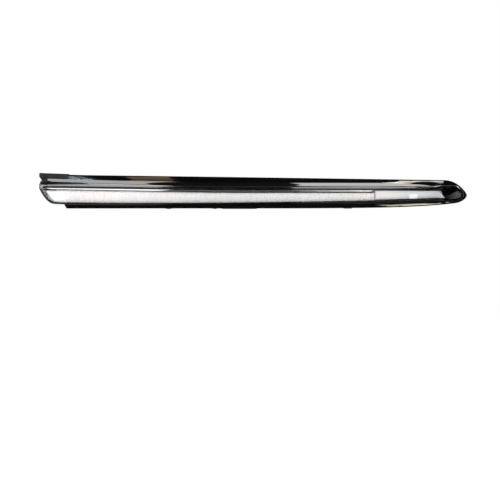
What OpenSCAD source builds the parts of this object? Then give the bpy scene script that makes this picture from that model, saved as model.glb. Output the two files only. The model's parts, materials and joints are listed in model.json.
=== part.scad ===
// Slim daytime running light for a front bumper: a leaf-shaped gloss black surround
// with a chrome strip, round a sealed lamp with a fluted light bar.
// X runs from the blunt end to the pointed tip, -Y is the front, Z is up.
// The origin is the middle fixing point, on the plane of the three fixing bosses.

/* [Front outline] */
// Length from the blunt end to the tip
lamp_l = 430; // [400:1:460]
// Height of the top edge at mid length, above the datum line
top_h = 19.9; // [19:0.1:22]
// Fall of the top edge over the whole length
top_fall = 6; // [3:0.5:7]
// Extra rise of the top edge at the blunt end
kick_h = 1; // [0:0.1:1.4]
// Depth of the sill's bottom edge below the datum line
sill_h = 11.3; // [10.5:0.1:13]
// Rise of the sill's bottom edge towards the tip
sill_rise = 5.2; // [4:0.1:5.6]
// Where the sill starts to rise, from mid length
sill_rise_x = 46; // [0:1:100]
// Length of the leaf-shaped nose
nose_l = 23.6; // [20:0.2:28]
// Height of the nose's point above the datum line
nose_h = 2; // [1:0.5:3]
// Distance from the blunt end to the sill's cut end, at its bottom edge
sill_start = 27.5; // [24:0.5:45]
// Lean of the sill's cut end
sill_lean = 3; // [0:0.5:6]

/* [Bow and depth] */
// Radius of the bow in plan
bow_r = 1000; // [900:10:1600]
// Depth of the top flange behind the lens face
top_flange_d = 22; // [20:0.5:26]
// Depth of the sill flange behind the lens face
sill_flange_d = 20; // [18:0.5:24]
// Depth of the lens skirt
skirt_d = 8.6; // [8:0.1:9.4]
// Depth of the housing's back face
housing_d = 29; // [28.5:0.5:32]
// Distance of the fixing plane behind the lens face at mid length
mount_d = 54; // [53.5:0.5:60]

/* [Surround] */
// Wall of the surround
wall_s = 1.6; // [1.2:0.1:2]
// Height of the crease under the top band, at mid length
crease_h = 14.5; // [14:0.1:15.5]
// Rise of the crease towards the blunt end
crease_rise = 4.2; // [3:0.1:4.6]
// Fall of the crease towards the tip
crease_drop = 3.1; // [2:0.1:3.6]
// Width of the ring at the point of the nose
ring_w = 3.6; // [3:0.1:5]
// Overlap of the sill and ring on the lens
lap = 1.5; // [1.2:0.1:1.8]
// Width of the chrome strip
strip_w = 3.4; // [2.8:0.1:3.8]
// Thickness of the adhesive tape under the strip
tape_t = 0.4; // [0.2:0.1:0.8]
// Length of the matt end cap
cap_l = 30; // [24:1:40]
// Length of the end cap's cut lower corner
cap_cut = 4.4; // [3:0.1:6]
// How far the end cap stands proud of the top band
cap_proud = 0.7; // [0.3:0.1:1]

/* [Lens and bezel] */
// Wall of the clear lens
wall_l = 1.6; // [1.4:0.1:1.9]
// Height of the window's top edge at mid length
win_h = 4.4; // [4:0.1:5]
// Depth of the window's bottom edge below the datum line
win_low = 6.05; // [5.6:0.05:6.5]
// Rise of the window's bottom edge at the far end
win_rise = 3.4; // [2.4:0.1:3.8]
// Width of the bezel's polished lip over the window
lip_w = 2.6; // [2.2:0.1:2.8]
// Width of the groove above the lip
groove_w = 1.9; // [1.5:0.1:2]
// Length of the clear end guide between the fluted light bar and the nose
guide_l = 69.4; // [56:0.2:80]
// Pitch of the vertical flutes
flute_p = 2.5; // [2:0.1:5]
// Depth of a flute
flute_d = 0.5; // [0.2:0.1:0.8]
// Thickness of the light bar
bar_t = 3; // [2.4:0.1:3]
// Width of the square optic
optic_w = 8; // [5:0.5:10]

/* [Fixings] */
// Pitch of the three fixing bosses
boss_pitch = 110; // [106:1:120]
// Radius of a fixing boss
boss_r = 6; // [5:0.1:6.5]
// Radius of the threaded bore in a boss insert
thread_r = 2.1; // [1.6:0.1:2.5]
// Length of a boss insert
insert_l = 10; // [6:0.5:12]
// Radius of the round locating pin
pin_r = 3; // [2:0.1:3.5]
// Length of the round locating pin
pin_l = 8; // [5:0.5:12]

/* [Electronics] */
// Height of the LED boards
board_h = 7; // [5:0.1:7]
// Thickness of every circuit board
board_t = 1.6; // [1:0.1:1.8]
// LEDs on each board
leds_per_board = 4; // [2:1:6]
// Length of the driver box on the back
box_l = 84; // [82:1:88]
// Wall of the housing
wall_h = 2; // [1.6:0.1:2.2]
// Thickness of the rear cover's plate
cover_t = 2.5; // [2:0.1:3]
// Height of the rear cover's fins
fin_h = 3.5; // [2:0.1:4.5]
// Pitch of the rear cover's fins
fin_p = 4; // [3.5:0.1:6]
// Length of the connector shell
socket_l = 17; // [15:0.5:22]
// Inside width of the connector shell
socket_w = 15; // [12:0.5:17]
// Inside height of the connector shell
socket_h = 7.5; // [6:0.1:8]
// Wall of the connector shell
socket_t = 1.8; // [1.4:0.1:2]

/* [Clearances] */
// Gap between neighbouring pieces
gap = 0.3; // [0.2:0.05:0.4]
// Extra shut line beside the end cap
shut = 1; // [0.5:0.1:1.6]
// Slack round a shank or a pin in its hole
slack = 0.1; // [0.05:0.05:0.2]

/* [Hidden] */

// Ends of the lamp and start of the nose
x_l = -lamp_l / 2;
x_r = lamp_l / 2;
x_n = x_r - nose_l;
joint_x = x_n - guide_l;
// Start of the lower nose curve, and the nose of the ring's crease
nose_low_l = 12.5;
x_c0 = x_n + nose_l * 0.47;
x_c1 = x_r - ring_w;
// Shape of the window and the blunt end
end_l = 15.2;
end_z = 8.5;
win_l = 7.2;
win_end = 11;
win_x1 = x_n + 1.6;
win_lean = 6;
win_left_rise = 2.5;
tip_dip = 2.3;
// Depths from the lens face, measured square to the bow
d_floor = 2.8;
d_band = 0.6;
d_edge = -0.6;
d_bezel = 2.9;
d_bar = 5.6;
d_refl = d_bar + bar_t + gap;
d_cavity = housing_d - wall_h;
d_board = d_cavity - 5.6;
d_spread = d_board + board_t + 0.05;
spread_t = 1.5;
refl_t = 1.4;
d_refl_back = d_board - 1.4;
// Height of the row of LEDs, boards and fixings
row_z = 2.7;
fix_z = 2.2;
// LED boards
boards = 4;
board_gap = 4;
board_x0 = x_l + 18;
board_l = (x_n - 24.4 - board_x0 - (boards - 1) * board_gap) / boards;
feed_x = board_x0 + 2 * board_l + board_gap - 44;
feed_z = row_z - 2.7;
led_s = 3;
link_t = 0.3;
led_t = 0.8;
screw_r = 1.1;
head_r = 1.9;
head_t = 1.2;
screw_in = 5;
// Driver box and what it holds
box_x0 = feed_x - 37;
box_x1 = box_x0 + box_l;
box_y = housing_d + 13;
box_z0 = -5.4;
box_z1 = 9.6;
fins_x1 = box_x1 - 30;
driver_y = box_y - 7;
driver_top = driver_y + board_t;
driver_x0 = box_x0 + wall_h + 2;
driver_x1 = box_x1 - wall_h - 2;
driver_z0 = box_z0 + wall_h + 0.6;
driver_z1 = box_z1 - wall_h - 0.6;
// Driver parts, measured from the feed pins; a chip is [place, length, width]
coil_in = 17;
can_in = 5.4;
can_p = 5.2;
can_r = 2.5;
chips = [[-27, 4, 5], [4.5, 5, 5], [20, 4, 3]];
post_r = 2.2;
corner = 2.4;
column_r = 2;
seal_t = 0.8;
seal_w = 1.4;
socket_x = box_x1 - 16;
blade_w = 1.6;
blade_t = 0.8;
blade_p = 4;
feed_p = 3;
feed_r = 0.5;
// Breather
vent_x = 60;
vent_r = 4;
vent_hole_r = 2;
// Sill hooks seen under the sill, and top hooks behind the top flange
hook_t = 2.4;
hook_proud = 0.5;
sill_hooks = [[-85, 5], [-38.5, 4], [-14, 35], [95, 8]];
top_hooks = [-150, -35, 75, 160];
round_fn = 48;
bow_fn = 360;

function clamp(t) = min(1, max(0, t));
function ease(t) = let (c = clamp(t)) c * c * (3 - 2 * c);
function mix(a, b, t) = a + (b - a) * t;
function round_off(t, p, q) = pow(max(0, 1 - pow(clamp(t), p)), q);

// A point of the bowed lamp: depth d is square to the bow, behind the lens face
function bow_y(x, d) = bow_r - sqrt(pow(bow_r - d, 2) - x * x);
function pt(x, z, d) = [x, bow_y(x, d), z];

// Lines of the front view, as heights over x
function top_line(x) =
    top_h - top_fall * x / lamp_l + kick_h * pow(clamp((x_l + 48 - x) / 48), 1.5);
function outline_top(x) =
    nose_h + (top_line(x) - nose_h) * round_off((x - x_n) / nose_l, 2.2, 0.8);
function sill_u(x) = max(0, (x - sill_rise_x) / (x_r - nose_low_l - sill_rise_x));
function sill_line(x) =
    let (u = sill_u(x)) -sill_h + sill_rise * (0.2 * u + 0.8 * pow(u, 4));
function outline_low(x) =
    nose_h + (sill_line(x) - nose_h) * round_off((x - x_r + nose_low_l) / nose_low_l, 2.2, 0.55);
function crease_line(x) =
    crease_h + crease_rise * pow(clamp((-40 - x) / 175), 1.6)
    - crease_drop * pow(clamp((x - x_n + 66) / 66), 2);
function crease_top(x) =
    nose_h + (crease_line(x) - nose_h) * round_off((x - x_c0) / (x_c1 - x_c0), 2.4, 0.6);
function win_low_line(x) =
    -win_low + win_rise * pow(max(0, (x + 104) / 250), 2) + pow(max(0, (-104 - x) / 100), 2);
function crease_low(x) =
    nose_h + (win_low_line(x) - 0.5 - tip_dip * ease((x - x_n + 8) / 18) - nose_h)
    * round_off((x - x_c0) / (x_c1 - x_c0), 2.2, 0.55);
// The lens joint runs under the strip along the top and under the lap round the nose
function ring_k(x) = pow(clamp((x - x_n + 32) / 32), 3);
function floor_d(x) = mix(d_floor, d_edge + 0.7, ring_k(x));
function seat_top(x) = crease_top(x) - mix(strip_w, -lap, ring_k(x));
function seat_low(x) = crease_low(x) - lap;
function shut_gap(x) = gap + shut * clamp((x_l + 47 - x) / 45);
function lens_top(x) = x > x_n ? lookup(x, nose_edge_top) : seat_top(x) - shut_gap(x);
function end_drop(x) = let (t = clamp((x - x_l) / end_l)) pow(1 - t, 2);
function lens_low(x) =
    x > x_n ? lookup(x, nose_edge_low) : mix(seat_low(x) + gap, end_z, end_drop(x));
function win_top(x) = win_h + win_left_rise * pow(clamp((-20 - x) / 185), 1.2);
function win_end_drop(x) = pow(1 - clamp((x - x_l - win_l) / win_end), 2);
function win_floor(x) = mix(win_low_line(x) + 0.1, win_top(x) - 0.6, win_end_drop(x));
function groove_low(x) = win_top(x) + lip_w;
function groove_top(x) = groove_low(x) + groove_w;

// Stations: the long legs, and closer together round the nose
leg_n = 26;
nose_n = 9;
function leg_x(x0, x1, n) = [for (i = [0 : n]) mix(x0, x1, i / n)];
nose_a = [for (i = [1 : nose_n]) 90 * i / nose_n];
// Edge of the lens round the nose, slack inside the lap
lens_slack = gap + 0.15;
nose_edge_top = [for (a = concat([0], nose_a)) lap_at(nose_out(a, 1), nose_in(a, 1), lens_slack)];
nose_edge_low = [for (a = concat([0], nose_a)) lap_at(nose_out(a, -1), nose_in(a, -1), lens_slack)];
x_end = lens_tip_x();
function lens_tip_x() = x_c1 + lap - lens_slack;
turn_xs = leg_x(x_n - 28, x_n, 8);
function bar_x(x0, x1, a, n) = concat(
    [for (i = [0 : 5]) x0 + a * pow(i / 5, 1.5)],
    leg_x(x0 + a + (x_n - x0 - a) / n, x_n - 32, n - 1),
    turn_xs,
    [for (i = [1 : 8]) x_n + (x1 - x_n) * sin(90 * i / 8)]
);

// Skin over a list of equal rings. The ends are given as small convex faces of the ring's points.
function turned(f) = [for (i = [len(f) - 1 : -1 : 0]) f[i]];
function skin_faces(n, m, first, last) = concat(
    first,
    [for (i = [0 : n - 2], j = [0 : m - 1]) each
        let (a = i * m + j, b = i * m + (j + 1) % m, c = b + m, d = a + m)
        [[a, c, b], [a, d, c]]],
    [for (f = last) turned([for (j = f) (n - 1) * m + j])]
);
module skin(rings, first = [], last = []) {
    m = len(rings[0]);
    one = [[for (j = [0 : m - 1]) j]];
    e0 = len(first) > 0 ? first : one;
    e1 = len(last) > 0 ? last : e0;
    polyhedron([for (r = rings) each r], skin_faces(len(rings), m, e0, e1), convexity = 8);
}

// Frame wrappers: everything is built on the lens face and moved to the fixing plane
module placed() {
    translate([0, -mount_d, -fix_z]) children();
}
module on_bow(x, d) {
    a = asin(x / (bow_r - d));
    translate([x, bow_y(x, d), 0]) rotate([0, 0, a]) children();
}
module bow_slab(d0, d1, z0 = -30, z1 = 40) {
    sweep = 15;
    translate([0, bow_r, 0]) rotate([0, 0, -90 - sweep])
        rotate_extrude(angle = 2 * sweep, $fn = bow_fn)
            translate([bow_r - d1, z0]) square([d1 - d0, z1 - z0]);
}
module prism(y0, y1) {
    rotate([90, 0, 0]) translate([0, 0, -y1]) linear_extrude(y1 - y0) children();
}
module rod(r, y0, y1) {
    translate([0, y0, 0]) rotate([-90, 0, 0]) cylinder(r = r, h = y1 - y0, $fn = round_fn);
}
module block(x0, x1, y0, y1, z0, z1) {
    translate([x0, y0, z0]) cube([x1 - x0, y1 - y0, z1 - z0]);
}

// Rings of the surround as [x, z, depth] points: o is the outline, c the crease, j the lens joint.
// band_ring carries the strip on a floor below the crease; lap_ring laps over the lens.
function between(a, b, t) = [mix(a[0], b[0], t), mix(a[1], b[1], t)];
function toward(a, b, w) = let (l = norm(b - a)) between(a, b, min(w, 0.42 * l) / l);
function lap_at(o, c, w) = let (l = norm(o - c)) between(c, o, (min(lap, 0.42 * l) - w) / l);
function at(p, d) = [p[0], p[1], d];
function face_points(o, c, ds, dc, f) = [
    for (i = [0 : 2]) at(between(o, c, [0.1, 0.38, 0.75][i]), mix(ds, dc, f[i]))
];
function band_ring(o, c, j, dr, ds, dc, df) =
    let (e = toward(c, o, wall_s), g = toward(o, c, wall_s), k = toward(j, o, wall_s), di = skirt_d - 0.4)
    concat(
        [at(o, dr), at(o, ds)], face_points(o, c, ds, dc, [0.3, 0.62, 0.9]),
        [
            at(c, dc), at(c, df), at(j, df + 0.1), at(j, di), at(k, di), at(k, df + wall_s + 0.4),
            at(e, df + wall_s + 0.4), at(g, ds + 1), at(g, dr)
        ]
    );
function lap_ring(o, c, dr, ds) =
    let (j = lap_at(o, c, 0), g = toward(o, c, wall_s), di = skirt_d - 0.4)
    concat(
        [at(o, dr), at(o, ds)], face_points(o, c, ds, d_edge, [0.42, 0.78, 0.96]),
        [
            at(c, d_edge), at(c, d_edge + 0.7), at(j, d_edge + 1.8), at(j, di), at(g, di),
            at(g, di + 0.4), at(g, di + 0.8), at(g, di + 1.4), at(g, dr)
        ]
    );
function placed_ring(q) = [for (v = q) pt(v[0], v[1], v[2])];
band_end = [[12, 13, 0, 1], [12, 1, 2, 3, 11], [11, 3, 4, 5, 6, 10], [10, 6, 7, 8, 9]];
lap_end = [[1, 12, 13, 0], [1, 9, 10, 11, 12], [9, 1, 2, 3], [7, 8, 9, 3], [7, 3, 4, 5, 6]];

function top_ring(x) =
    let (k = ring_k(x), o = [x, outline_top(x)], c = [x, crease_top(x)])
    placed_ring(mix(
        band_ring(o, c, [x, crease_top(x) - strip_w], top_flange_d, 12, d_band, d_floor),
        lap_ring(o, c, top_flange_d, 9),
        k
    ));
function nose_out(a, s) = let (x = mix(x_n, x_r, sin(a))) [x, s > 0 ? outline_top(x) : outline_low(x)];
function nose_in(a, s) = let (x = mix(x_n, x_c1, sin(a))) [x, s > 0 ? crease_top(x) : crease_low(x)];
function nose_ring(a, s) =
    let (t = s > 0 ? a / 180 : 1 - a / 180)
    placed_ring(lap_ring(nose_out(a, s), nose_in(a, s), mix(top_flange_d, sill_flange_d, t), 9));
function sill_ring(x, lean) =
    placed_ring(lap_ring([x, outline_low(x)], [x - lean, crease_low(x)], sill_flange_d, 8));
// The end cap stands proud of the band, and its lower corner is cut away
function cap_ring(x, back) =
    let (
        t = clamp((x_l + cap_cut - x) / cap_cut),
        c = crease_top(x) + 2.6 * t,
        j = c - mix(strip_w, 0.6, t)
    )
    placed_ring(band_ring([x, outline_top(x) + cap_proud], [x, c], [x, j], top_flange_d - back, 12, d_band, d_floor));

module surround() {
    x_cut = x_l + sill_start;
    color([0.03, 0.03, 0.035]) placed()
        skin(concat(
            [for (x = concat(leg_x(x_l + cap_l, x_n - 32, leg_n - 2), turn_xs)) top_ring(x)],
            [for (a = nose_a) nose_ring(a, 1)],
            [for (i = [nose_n - 2 : -1 : 0]) nose_ring(nose_a[i], -1)],
            [for (x = leg_x(x_n, x_cut + 6, leg_n)) sill_ring(x, 0)],
            [sill_ring(x_cut, sill_lean)]
        ), band_end, lap_end);
}

module end_cap() {
    color([0.16, 0.16, 0.17]) placed()
        skin([for (x = concat([x_l, x_l + cap_cut / 2, x_l + cap_cut], leg_x(x_l + 9, x_l + cap_l - 0.15, 3)))
            cap_ring(x, 2 * pow(clamp((x_l + 9 - x) / 9), 2))], band_end);
}

// The strip tapers in from the blunt end and out again before the nose
strip_x0 = x_l + 8.5;
strip_x1 = x_n - 6.5;
function strip_in(x) =
    let (t0 = clamp((x - strip_x0) / 9), t1 = clamp((strip_x1 - x) / 40))
    0.5 * (1 - sqrt(1 - pow(1 - t0, 2))) + 0.42 * pow(1 - t1, 2);
function strip_lo(x) =
    max(seat_top(x), mix(crease_top(x) - slack, crease_top(x) - strip_w, 1 - 0.8 * strip_in(x)));
function strip_hi(x) = crease_top(x) - slack - 0.2 * strip_in(x);
strip_xs = concat(
    [for (i = [0 : 5]) strip_x0 + 9 * pow(i / 5, 1.5)],
    leg_x(strip_x0 + 20, strip_x1 - 30, 22),
    [for (i = [1 : 6]) strip_x1 - 30 + 30 * i / 6]
);
module chrome_strip() {
    color([0.8, 0.81, 0.83]) placed()
        skin([for (x = strip_xs)
            let (a = strip_hi(x), b = strip_lo(x), d1 = floor_d(x) - tape_t - 0.05)
            [
                pt(x, a, d1), pt(x, a, d_band + 0.1), pt(x, mix(a, b, 0.15), d_band - 0.55),
                pt(x, mix(a, b, 0.4), d_band - 0.95), pt(x, mix(a, b, 0.7), d_band - 0.9),
                pt(x, mix(a, b, 0.92), d_band - 0.45), pt(x, b, d_band + 0.3), pt(x, b, d1)
            ]]);
}
module strip_tape() {
    color([0.25, 0.25, 0.26]) placed()
        skin([for (x = leg_x(x_l + cap_l + 4, strip_x1 - 26, 20))
            let (a = strip_hi(x) - 0.5, b = strip_lo(x) + 0.5, d0 = d_floor - tape_t, d1 = d_floor - 0.02)
            [pt(x, a, d1), pt(x, a, d0), pt(x, b, d0), pt(x, b, d1 + 0.02)]]);
}

// Lens section as [z, d]: crowned face, rounded edges and a skirt; w is the inset
function lens_end(x) = 3.4 * pow(1 - clamp((x - x_l) / 9), 2);
function inner_top(x, w) = min(lens_top(x - w), lens_top(x + w)) - w;
function inner_low(x, w) = max(lens_low(x - w), lens_low(x + w)) + w;
function lens_path(x, w) =
    let (
        a = inner_top(x, w),
        b = inner_low(x, w),
        h = max(0.4, a - b),
        e = min(0.9, 0.3 * h),
        s = w + lens_end(x - w)
    )
    [
        [b + h, skirt_d], [b + h, s + 2.4], [b + h - 0.3 * e, s + 1.5],
        [b + h - e, s + 0.85], [b + 0.75 * h, s + 0.45], [b + 0.5 * h, s + 0.35],
        [b + 0.25 * h, s + 0.45], [b + e, s + 0.85], [b + 0.3 * e, s + 1.5],
        [b, s + 2.4], [b, skirt_d]
    ];
// One ring of the lens shell: the outer path and the inner path back, which is shallow at both ends
function lens_ring(x, hollow) =
    let (o = lens_path(x, 0), i = lens_path(x, wall_l))
    concat(
        [for (p = o) pt(x, p[0], p[1])],
        [for (j = [len(i) - 1 : -1 : 0]) pt(x, i[j][0], mix(skirt_d, i[j][1], hollow))]
    );
end_hollow = 0.12;
lens_x1 = x_end - 0.6;
module outer_lens() {
    open_x0 = x_l + wall_l + 0.1;
    open_x1 = lens_x1 - 1.6 * wall_l;
    color([0.85, 0.9, 0.95, 0.35]) placed()
        skin(concat(
            [for (t = [0, 0.5, 1]) lens_ring(x_l + t * wall_l, end_hollow)],
            [for (x = bar_x(open_x0, open_x1, 16, leg_n)) lens_ring(x, 1)],
            [for (t = [0.05, 0.5, 1]) lens_ring(mix(open_x1, lens_x1, t), end_hollow)]
        ), [for (j = [0 : 9]) [j, j + 1, 20 - j, 21 - j]]);
}

// Front outline of the lamp body, and of its window, as flat shapes
body_xs = bar_x(x_l, lens_x1, 16, leg_n);
module body_outline(w = 0) {
    offset(delta = -w)
        polygon(concat(
            [for (x = body_xs) [x, lens_top(x)]],
            [for (i = [len(body_xs) - 1 : -1 : 0]) [body_xs[i], lens_low(body_xs[i])]]
        ));
}
module wrap_outline(w) {
    intersection() {
        translate([w, w]) body_outline();
        body_outline(w);
    }
}
module seat_outline(w = 0) {
    xs = concat(leg_x(x_l - 1, x_n, 20), [for (i = [1 : 8]) x_n + nose_l * sin(90 * i / 8)]);
    intersection() {
        body_outline(w);
        offset(delta = -wall_s - gap - 0.3) polygon(concat(
            [for (x = xs) [x, outline_top(x) + 5 * (1 - clamp((x - x_l) / 40))]],
            [for (i = [len(xs) - 1 : -1 : 0]) [xs[i], outline_low(xs[i])]],
            [[x_l - 5, outline_low(x_l)], [x_l - 5, outline_top(x_l) + 5]]
        ));
    }
}
module body_to(x1, w = 0) {
    intersection() {
        body_outline(w);
        translate([x_l - 5, -30]) square([x1 - x_l + 5, 70]);
    }
}
win_xs = concat(
    [for (i = [0 : 6]) x_l + win_l + win_end * pow(i / 6, 1.6)],
    leg_x(x_l + win_l + win_end + 14, joint_x - 0.4, 24)
);
module window_shape(w = 0) {
    offset(delta = w)
        polygon(concat(
            [for (x = win_xs) [x, win_top(x)]],
            [for (i = [len(win_xs) - 1 : -1 : 0]) [win_xs[i], win_floor(win_xs[i])]]
        ));
}
tip_xs = leg_x(joint_x + 0.4, win_x1, 8);
module tip_window(w = 0) {
    offset(delta = w)
        polygon(concat(
            [for (x = tip_xs) [min(x, win_x1 - win_lean), groove_low(x) - 0.7]],
            [for (i = [len(tip_xs) - 1 : -1 : 0])
                [tip_xs[i], max(win_floor(tip_xs[i]), inner_low(tip_xs[i], wall_l + gap) + 0.4)]]
        ));
}

module lens_seal() {
    color([0.1, 0.1, 0.1]) placed() intersection() {
        bow_slab(skirt_d + 0.06, skirt_d + gap + 0.08);
        prism(-5, 60) difference() {
            seat_outline(0.3);
            body_outline(wall_l - 0.3);
        }
    }
}

// The bezel: polished band, groove and lip over the window, and a wrap round the blunt end
function lip_at(x) = mix(lip_w, 0.5, ease((x - joint_x + 3) / 3));
function bezel_ring(x) =
    let (
        lo = inner_low(x, wall_l + gap),
        a = max(inner_top(x, wall_l + gap), lo + 0.9),
        g = max(min(groove_top(x), a - 0.5), lo + 0.5),
        r = clamp((a - g) / 1.4),
        l = max(min(groove_low(x), g - 0.15), lo + 0.3),
        b = max(l - lip_at(x), lo),
        s = lens_end(x - wall_l - gap),
        d1 = skirt_d - gap
    )
    [
        pt(x, a, d1), pt(x, a, min(d1 - 0.3, d_bezel + 1.4 + s)),
        pt(x, mix(g, a, 0.65), min(d1 - 0.5, d_bezel + mix(1.3, 0.5, r) + s)),
        pt(x, mix(g, a, 0.25), min(d1 - 0.6, d_bezel + mix(1.1, 0.1, r) + s)),
        pt(x, g, min(d1 - 0.6, d_bezel + mix(1.2, 0.3, r) + s)), pt(x, g - 0.1, min(d1 - 0.4, d_bezel + 2 + s)),
        pt(x, l + 0.05, min(d1 - 0.4, d_bezel + 2 + s)), pt(x, l, min(d1 - 0.5, d_bezel + 0.9 + s)),
        pt(x, l - 0.15, min(d1 - 0.5, d_bezel + 0.8 + s)), pt(x, b, min(d1 - 0.3, d_bar - 0.1 + s)),
        pt(x, b, d1)
    ];
bezel_xs = concat(
    [for (i = [0 : 4]) x_l + wall_l + gap + 14 * pow(i / 4, 1.5)],
    leg_x(x_l + 28, joint_x - 3, 22),
    [joint_x - 2, joint_x - 1, joint_x],
    leg_x(joint_x + 8, x_n - 6, 9)
);
module bezel() {
    color([0.75, 0.76, 0.78]) placed() union() {
        skin([for (x = bezel_xs) bezel_ring(x)], [[0, 1, 2, 3, 4, 5], [0, 5, 6, 10], [6, 7, 8, 9, 10]]);
        intersection() {
            bow_slab(d_bar + 0.8, skirt_d - gap);
            prism(-5, 60) intersection() {
                difference() {
                    wrap_outline(wall_l + gap + 0.6);
                    window_shape(0.15);
                }
                translate([x_l, -20]) square([win_l + win_end + 4, 20 + win_h + 3]);
            }
        }
    }
}

// The light bar: vertical flutes along the bow, plain at the blunt end
bar_x0 = x_l + win_l;
flute_x0 = bar_x0 + 14;
flutes = floor((joint_x - 2 - flute_x0) / flute_p);
function bow_pt(x, d) = [x, bow_y(x, d)];
module bar_plan(x0, x1) {
    polygon(concat(
        [bow_pt(x0, d_bar + flute_d)],
        [for (t = [0.25 : 0.25 : 1]) bow_pt(mix(x0, flute_x0, t), d_bar + flute_d)],
        [for (i = [0 : flutes - 1]) each [
            bow_pt(flute_x0 + (i + 0.3) * flute_p, d_bar + 0.15 * flute_d),
            bow_pt(flute_x0 + (i + 0.5) * flute_p, d_bar),
            bow_pt(flute_x0 + (i + 0.7) * flute_p, d_bar + 0.15 * flute_d),
            bow_pt(flute_x0 + (i + 1) * flute_p, d_bar + flute_d)
        ]],
        [bow_pt(x1, d_bar + flute_d)],
        [for (i = [0 : 24]) bow_pt(mix(x1, x0, i / 24), d_bar + bar_t)]
    ));
}
module light_bar() {
    color([0.95, 0.93, 0.93]) placed() intersection() {
        translate([0, 0, -20]) linear_extrude(50) bar_plan(bar_x0 - 1, joint_x);
        prism(-5, 60) window_shape(-0.12);
    }
}
module tip_optic() {
    optic_x = x_n - 34.4;
    optic_z = 0.5;
    color([0.88, 0.92, 0.97]) placed() union() {
        intersection() {
            bow_slab(d_bar + 0.2, d_bar + bar_t);
            prism(-5, 60) tip_window(-0.2);
        }
        intersection() {
            bow_slab(d_bar - 0.6, d_bar + 1);
            prism(-5, 60) intersection() {
                tip_window(-0.2);
                translate([optic_x, optic_z - optic_w * 0.35]) square([optic_w, optic_w * 0.7]);
            }
        }
    }
}

// Black plate in the nose, cut to the slant of the end guide, with a sloped lower flank
mask_xs = concat(leg_x(x_n + 4, x_c0 + 4, 4), [for (i = [1 : 5]) mix(x_c0 + 4, x_end - 3.4, sin(18 * i))]);
function mask_ring(x, lean = 0) =
    let (
        w = wall_l + gap + 0.1,
        b = inner_low(x, w),
        a = max(b + 0.5, min(inner_top(x, w), inner_top(x - lean, w))),
        f = mix(b, max(a, b + 0.6), 0.48),
        q = [[a, skirt_d - gap], [a, d_bar + 0.6], [f, d_bar + 0.6], [b, d_bezel + 1.2], [b, skirt_d - gap]]
    )
    [for (v = q) pt(x - lean * (v[0] - b) / max(0.5, a - b), max(v[0], b), v[1])];
module tip_mask() {
    color([0.05, 0.05, 0.055]) placed()
        skin(concat([mask_ring(win_x1 + 0.6, win_lean)], [for (x = mask_xs) mask_ring(x)]), [[4, 0, 1, 2, 3]]);
}

// White tray behind the light guides, with a square window for each LED
refl_x1 = x_n - 2;
module led_places() {
    for (b = [0 : boards - 1], i = [0 : leds_per_board - 1])
        on_bow(board_mid(b), d_board)
            translate([((i + 0.5) / leds_per_board - 0.5) * board_l, 0, row_z]) children();
}
module reflector() {
    color([0.9, 0.9, 0.88]) placed() difference() {
        intersection() {
            bow_slab(d_refl, d_refl_back);
            prism(-5, 60) body_to(refl_x1, wall_h + gap);
        }
        intersection() {
            bow_slab(d_refl - 1, d_refl_back - refl_t);
            prism(-5, 60) body_to(refl_x1 - refl_t, wall_h + gap + refl_t);
        }
        led_places() block(-2.3, 2.3, -8, 4, -2.3, 2.3);
        board_screw_places() rod(head_r + 0.6, -3, 2);
    }
}
module leds() {
    color([0.95, 0.85, 0.35]) placed()
        led_places() union() {
            block(-led_s / 2, led_s / 2, -led_t, 0, -led_s / 2, led_s / 2);
            translate([0, -led_t, 0]) rotate([90, 0, 0]) cylinder(r1 = led_s * 0.4, r2 = led_s * 0.3, h = 0.3, $fn = 32);
        }
}

function board_mid(b) = board_x0 + board_l / 2 + b * (board_l + board_gap);
module board_screw_places() {
    for (b = [0 : boards - 1], s = [-1, 1])
        on_bow(board_mid(b), d_board) translate([s * (board_l / 2 - screw_in), 0, row_z]) children();
}
module led_board(b) {
    color([0.93, 0.94, 0.93]) placed() difference() {
        on_bow(board_mid(b), d_board)
            block(-board_l / 2, board_l / 2, 0, board_t, row_z - board_h / 2, row_z + board_h / 2);
        board_screw_places() rod(screw_r + slack, -1, board_t + 1);
        feed_places() rod(feed_r + slack, 0, d_cavity);
    }
}
module led_board_1() { led_board(0); }
module led_board_2() { led_board(1); }
module led_board_3() { led_board(2); }
module led_board_4() { led_board(3); }

module board_links() {
    link_l = board_gap + 5;
    bend = sqrt(pow(bow_r - d_board, 2) + pow(board_l / 2, 2)) - (bow_r - d_board);
    color([0.8, 0.7, 0.35]) placed()
        for (b = [0 : boards - 2], s = [-1, 1])
            on_bow((board_mid(b) + board_mid(b + 1)) / 2, d_board - bend - 0.05)
                block(-link_l / 2, link_l / 2, -link_t, 0, row_z + s * 2 - 0.6, row_z + s * 2 + 0.6);
}
module board_screws() {
    color([0.6, 0.6, 0.62]) placed() board_screw_places() difference() {
        union() {
            rod(screw_r, 0, d_cavity - d_board - 0.1);
            translate([0, -head_t, 0]) rod(head_r, 0, head_t);
        }
        translate([0, -head_t - 0.01, 0]) rotate([-90, 0, 0]) cylinder(r = 0.8, h = 0.6, $fn = 6);
    }
}
module heat_spreader() {
    color([0.72, 0.73, 0.75]) placed() difference() {
        intersection() {
            bow_slab(d_spread, d_spread + spread_t, row_z - board_h / 2, row_z + board_h / 2);
            translate([board_x0, 0, -20]) cube([boards * (board_l + board_gap) - board_gap, 80, 60]);
        }
        board_screw_places() rod(screw_r + slack, -5, 12);
        feed_places() rod(feed_r + 0.6, 0, d_cavity);
    }
}

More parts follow.
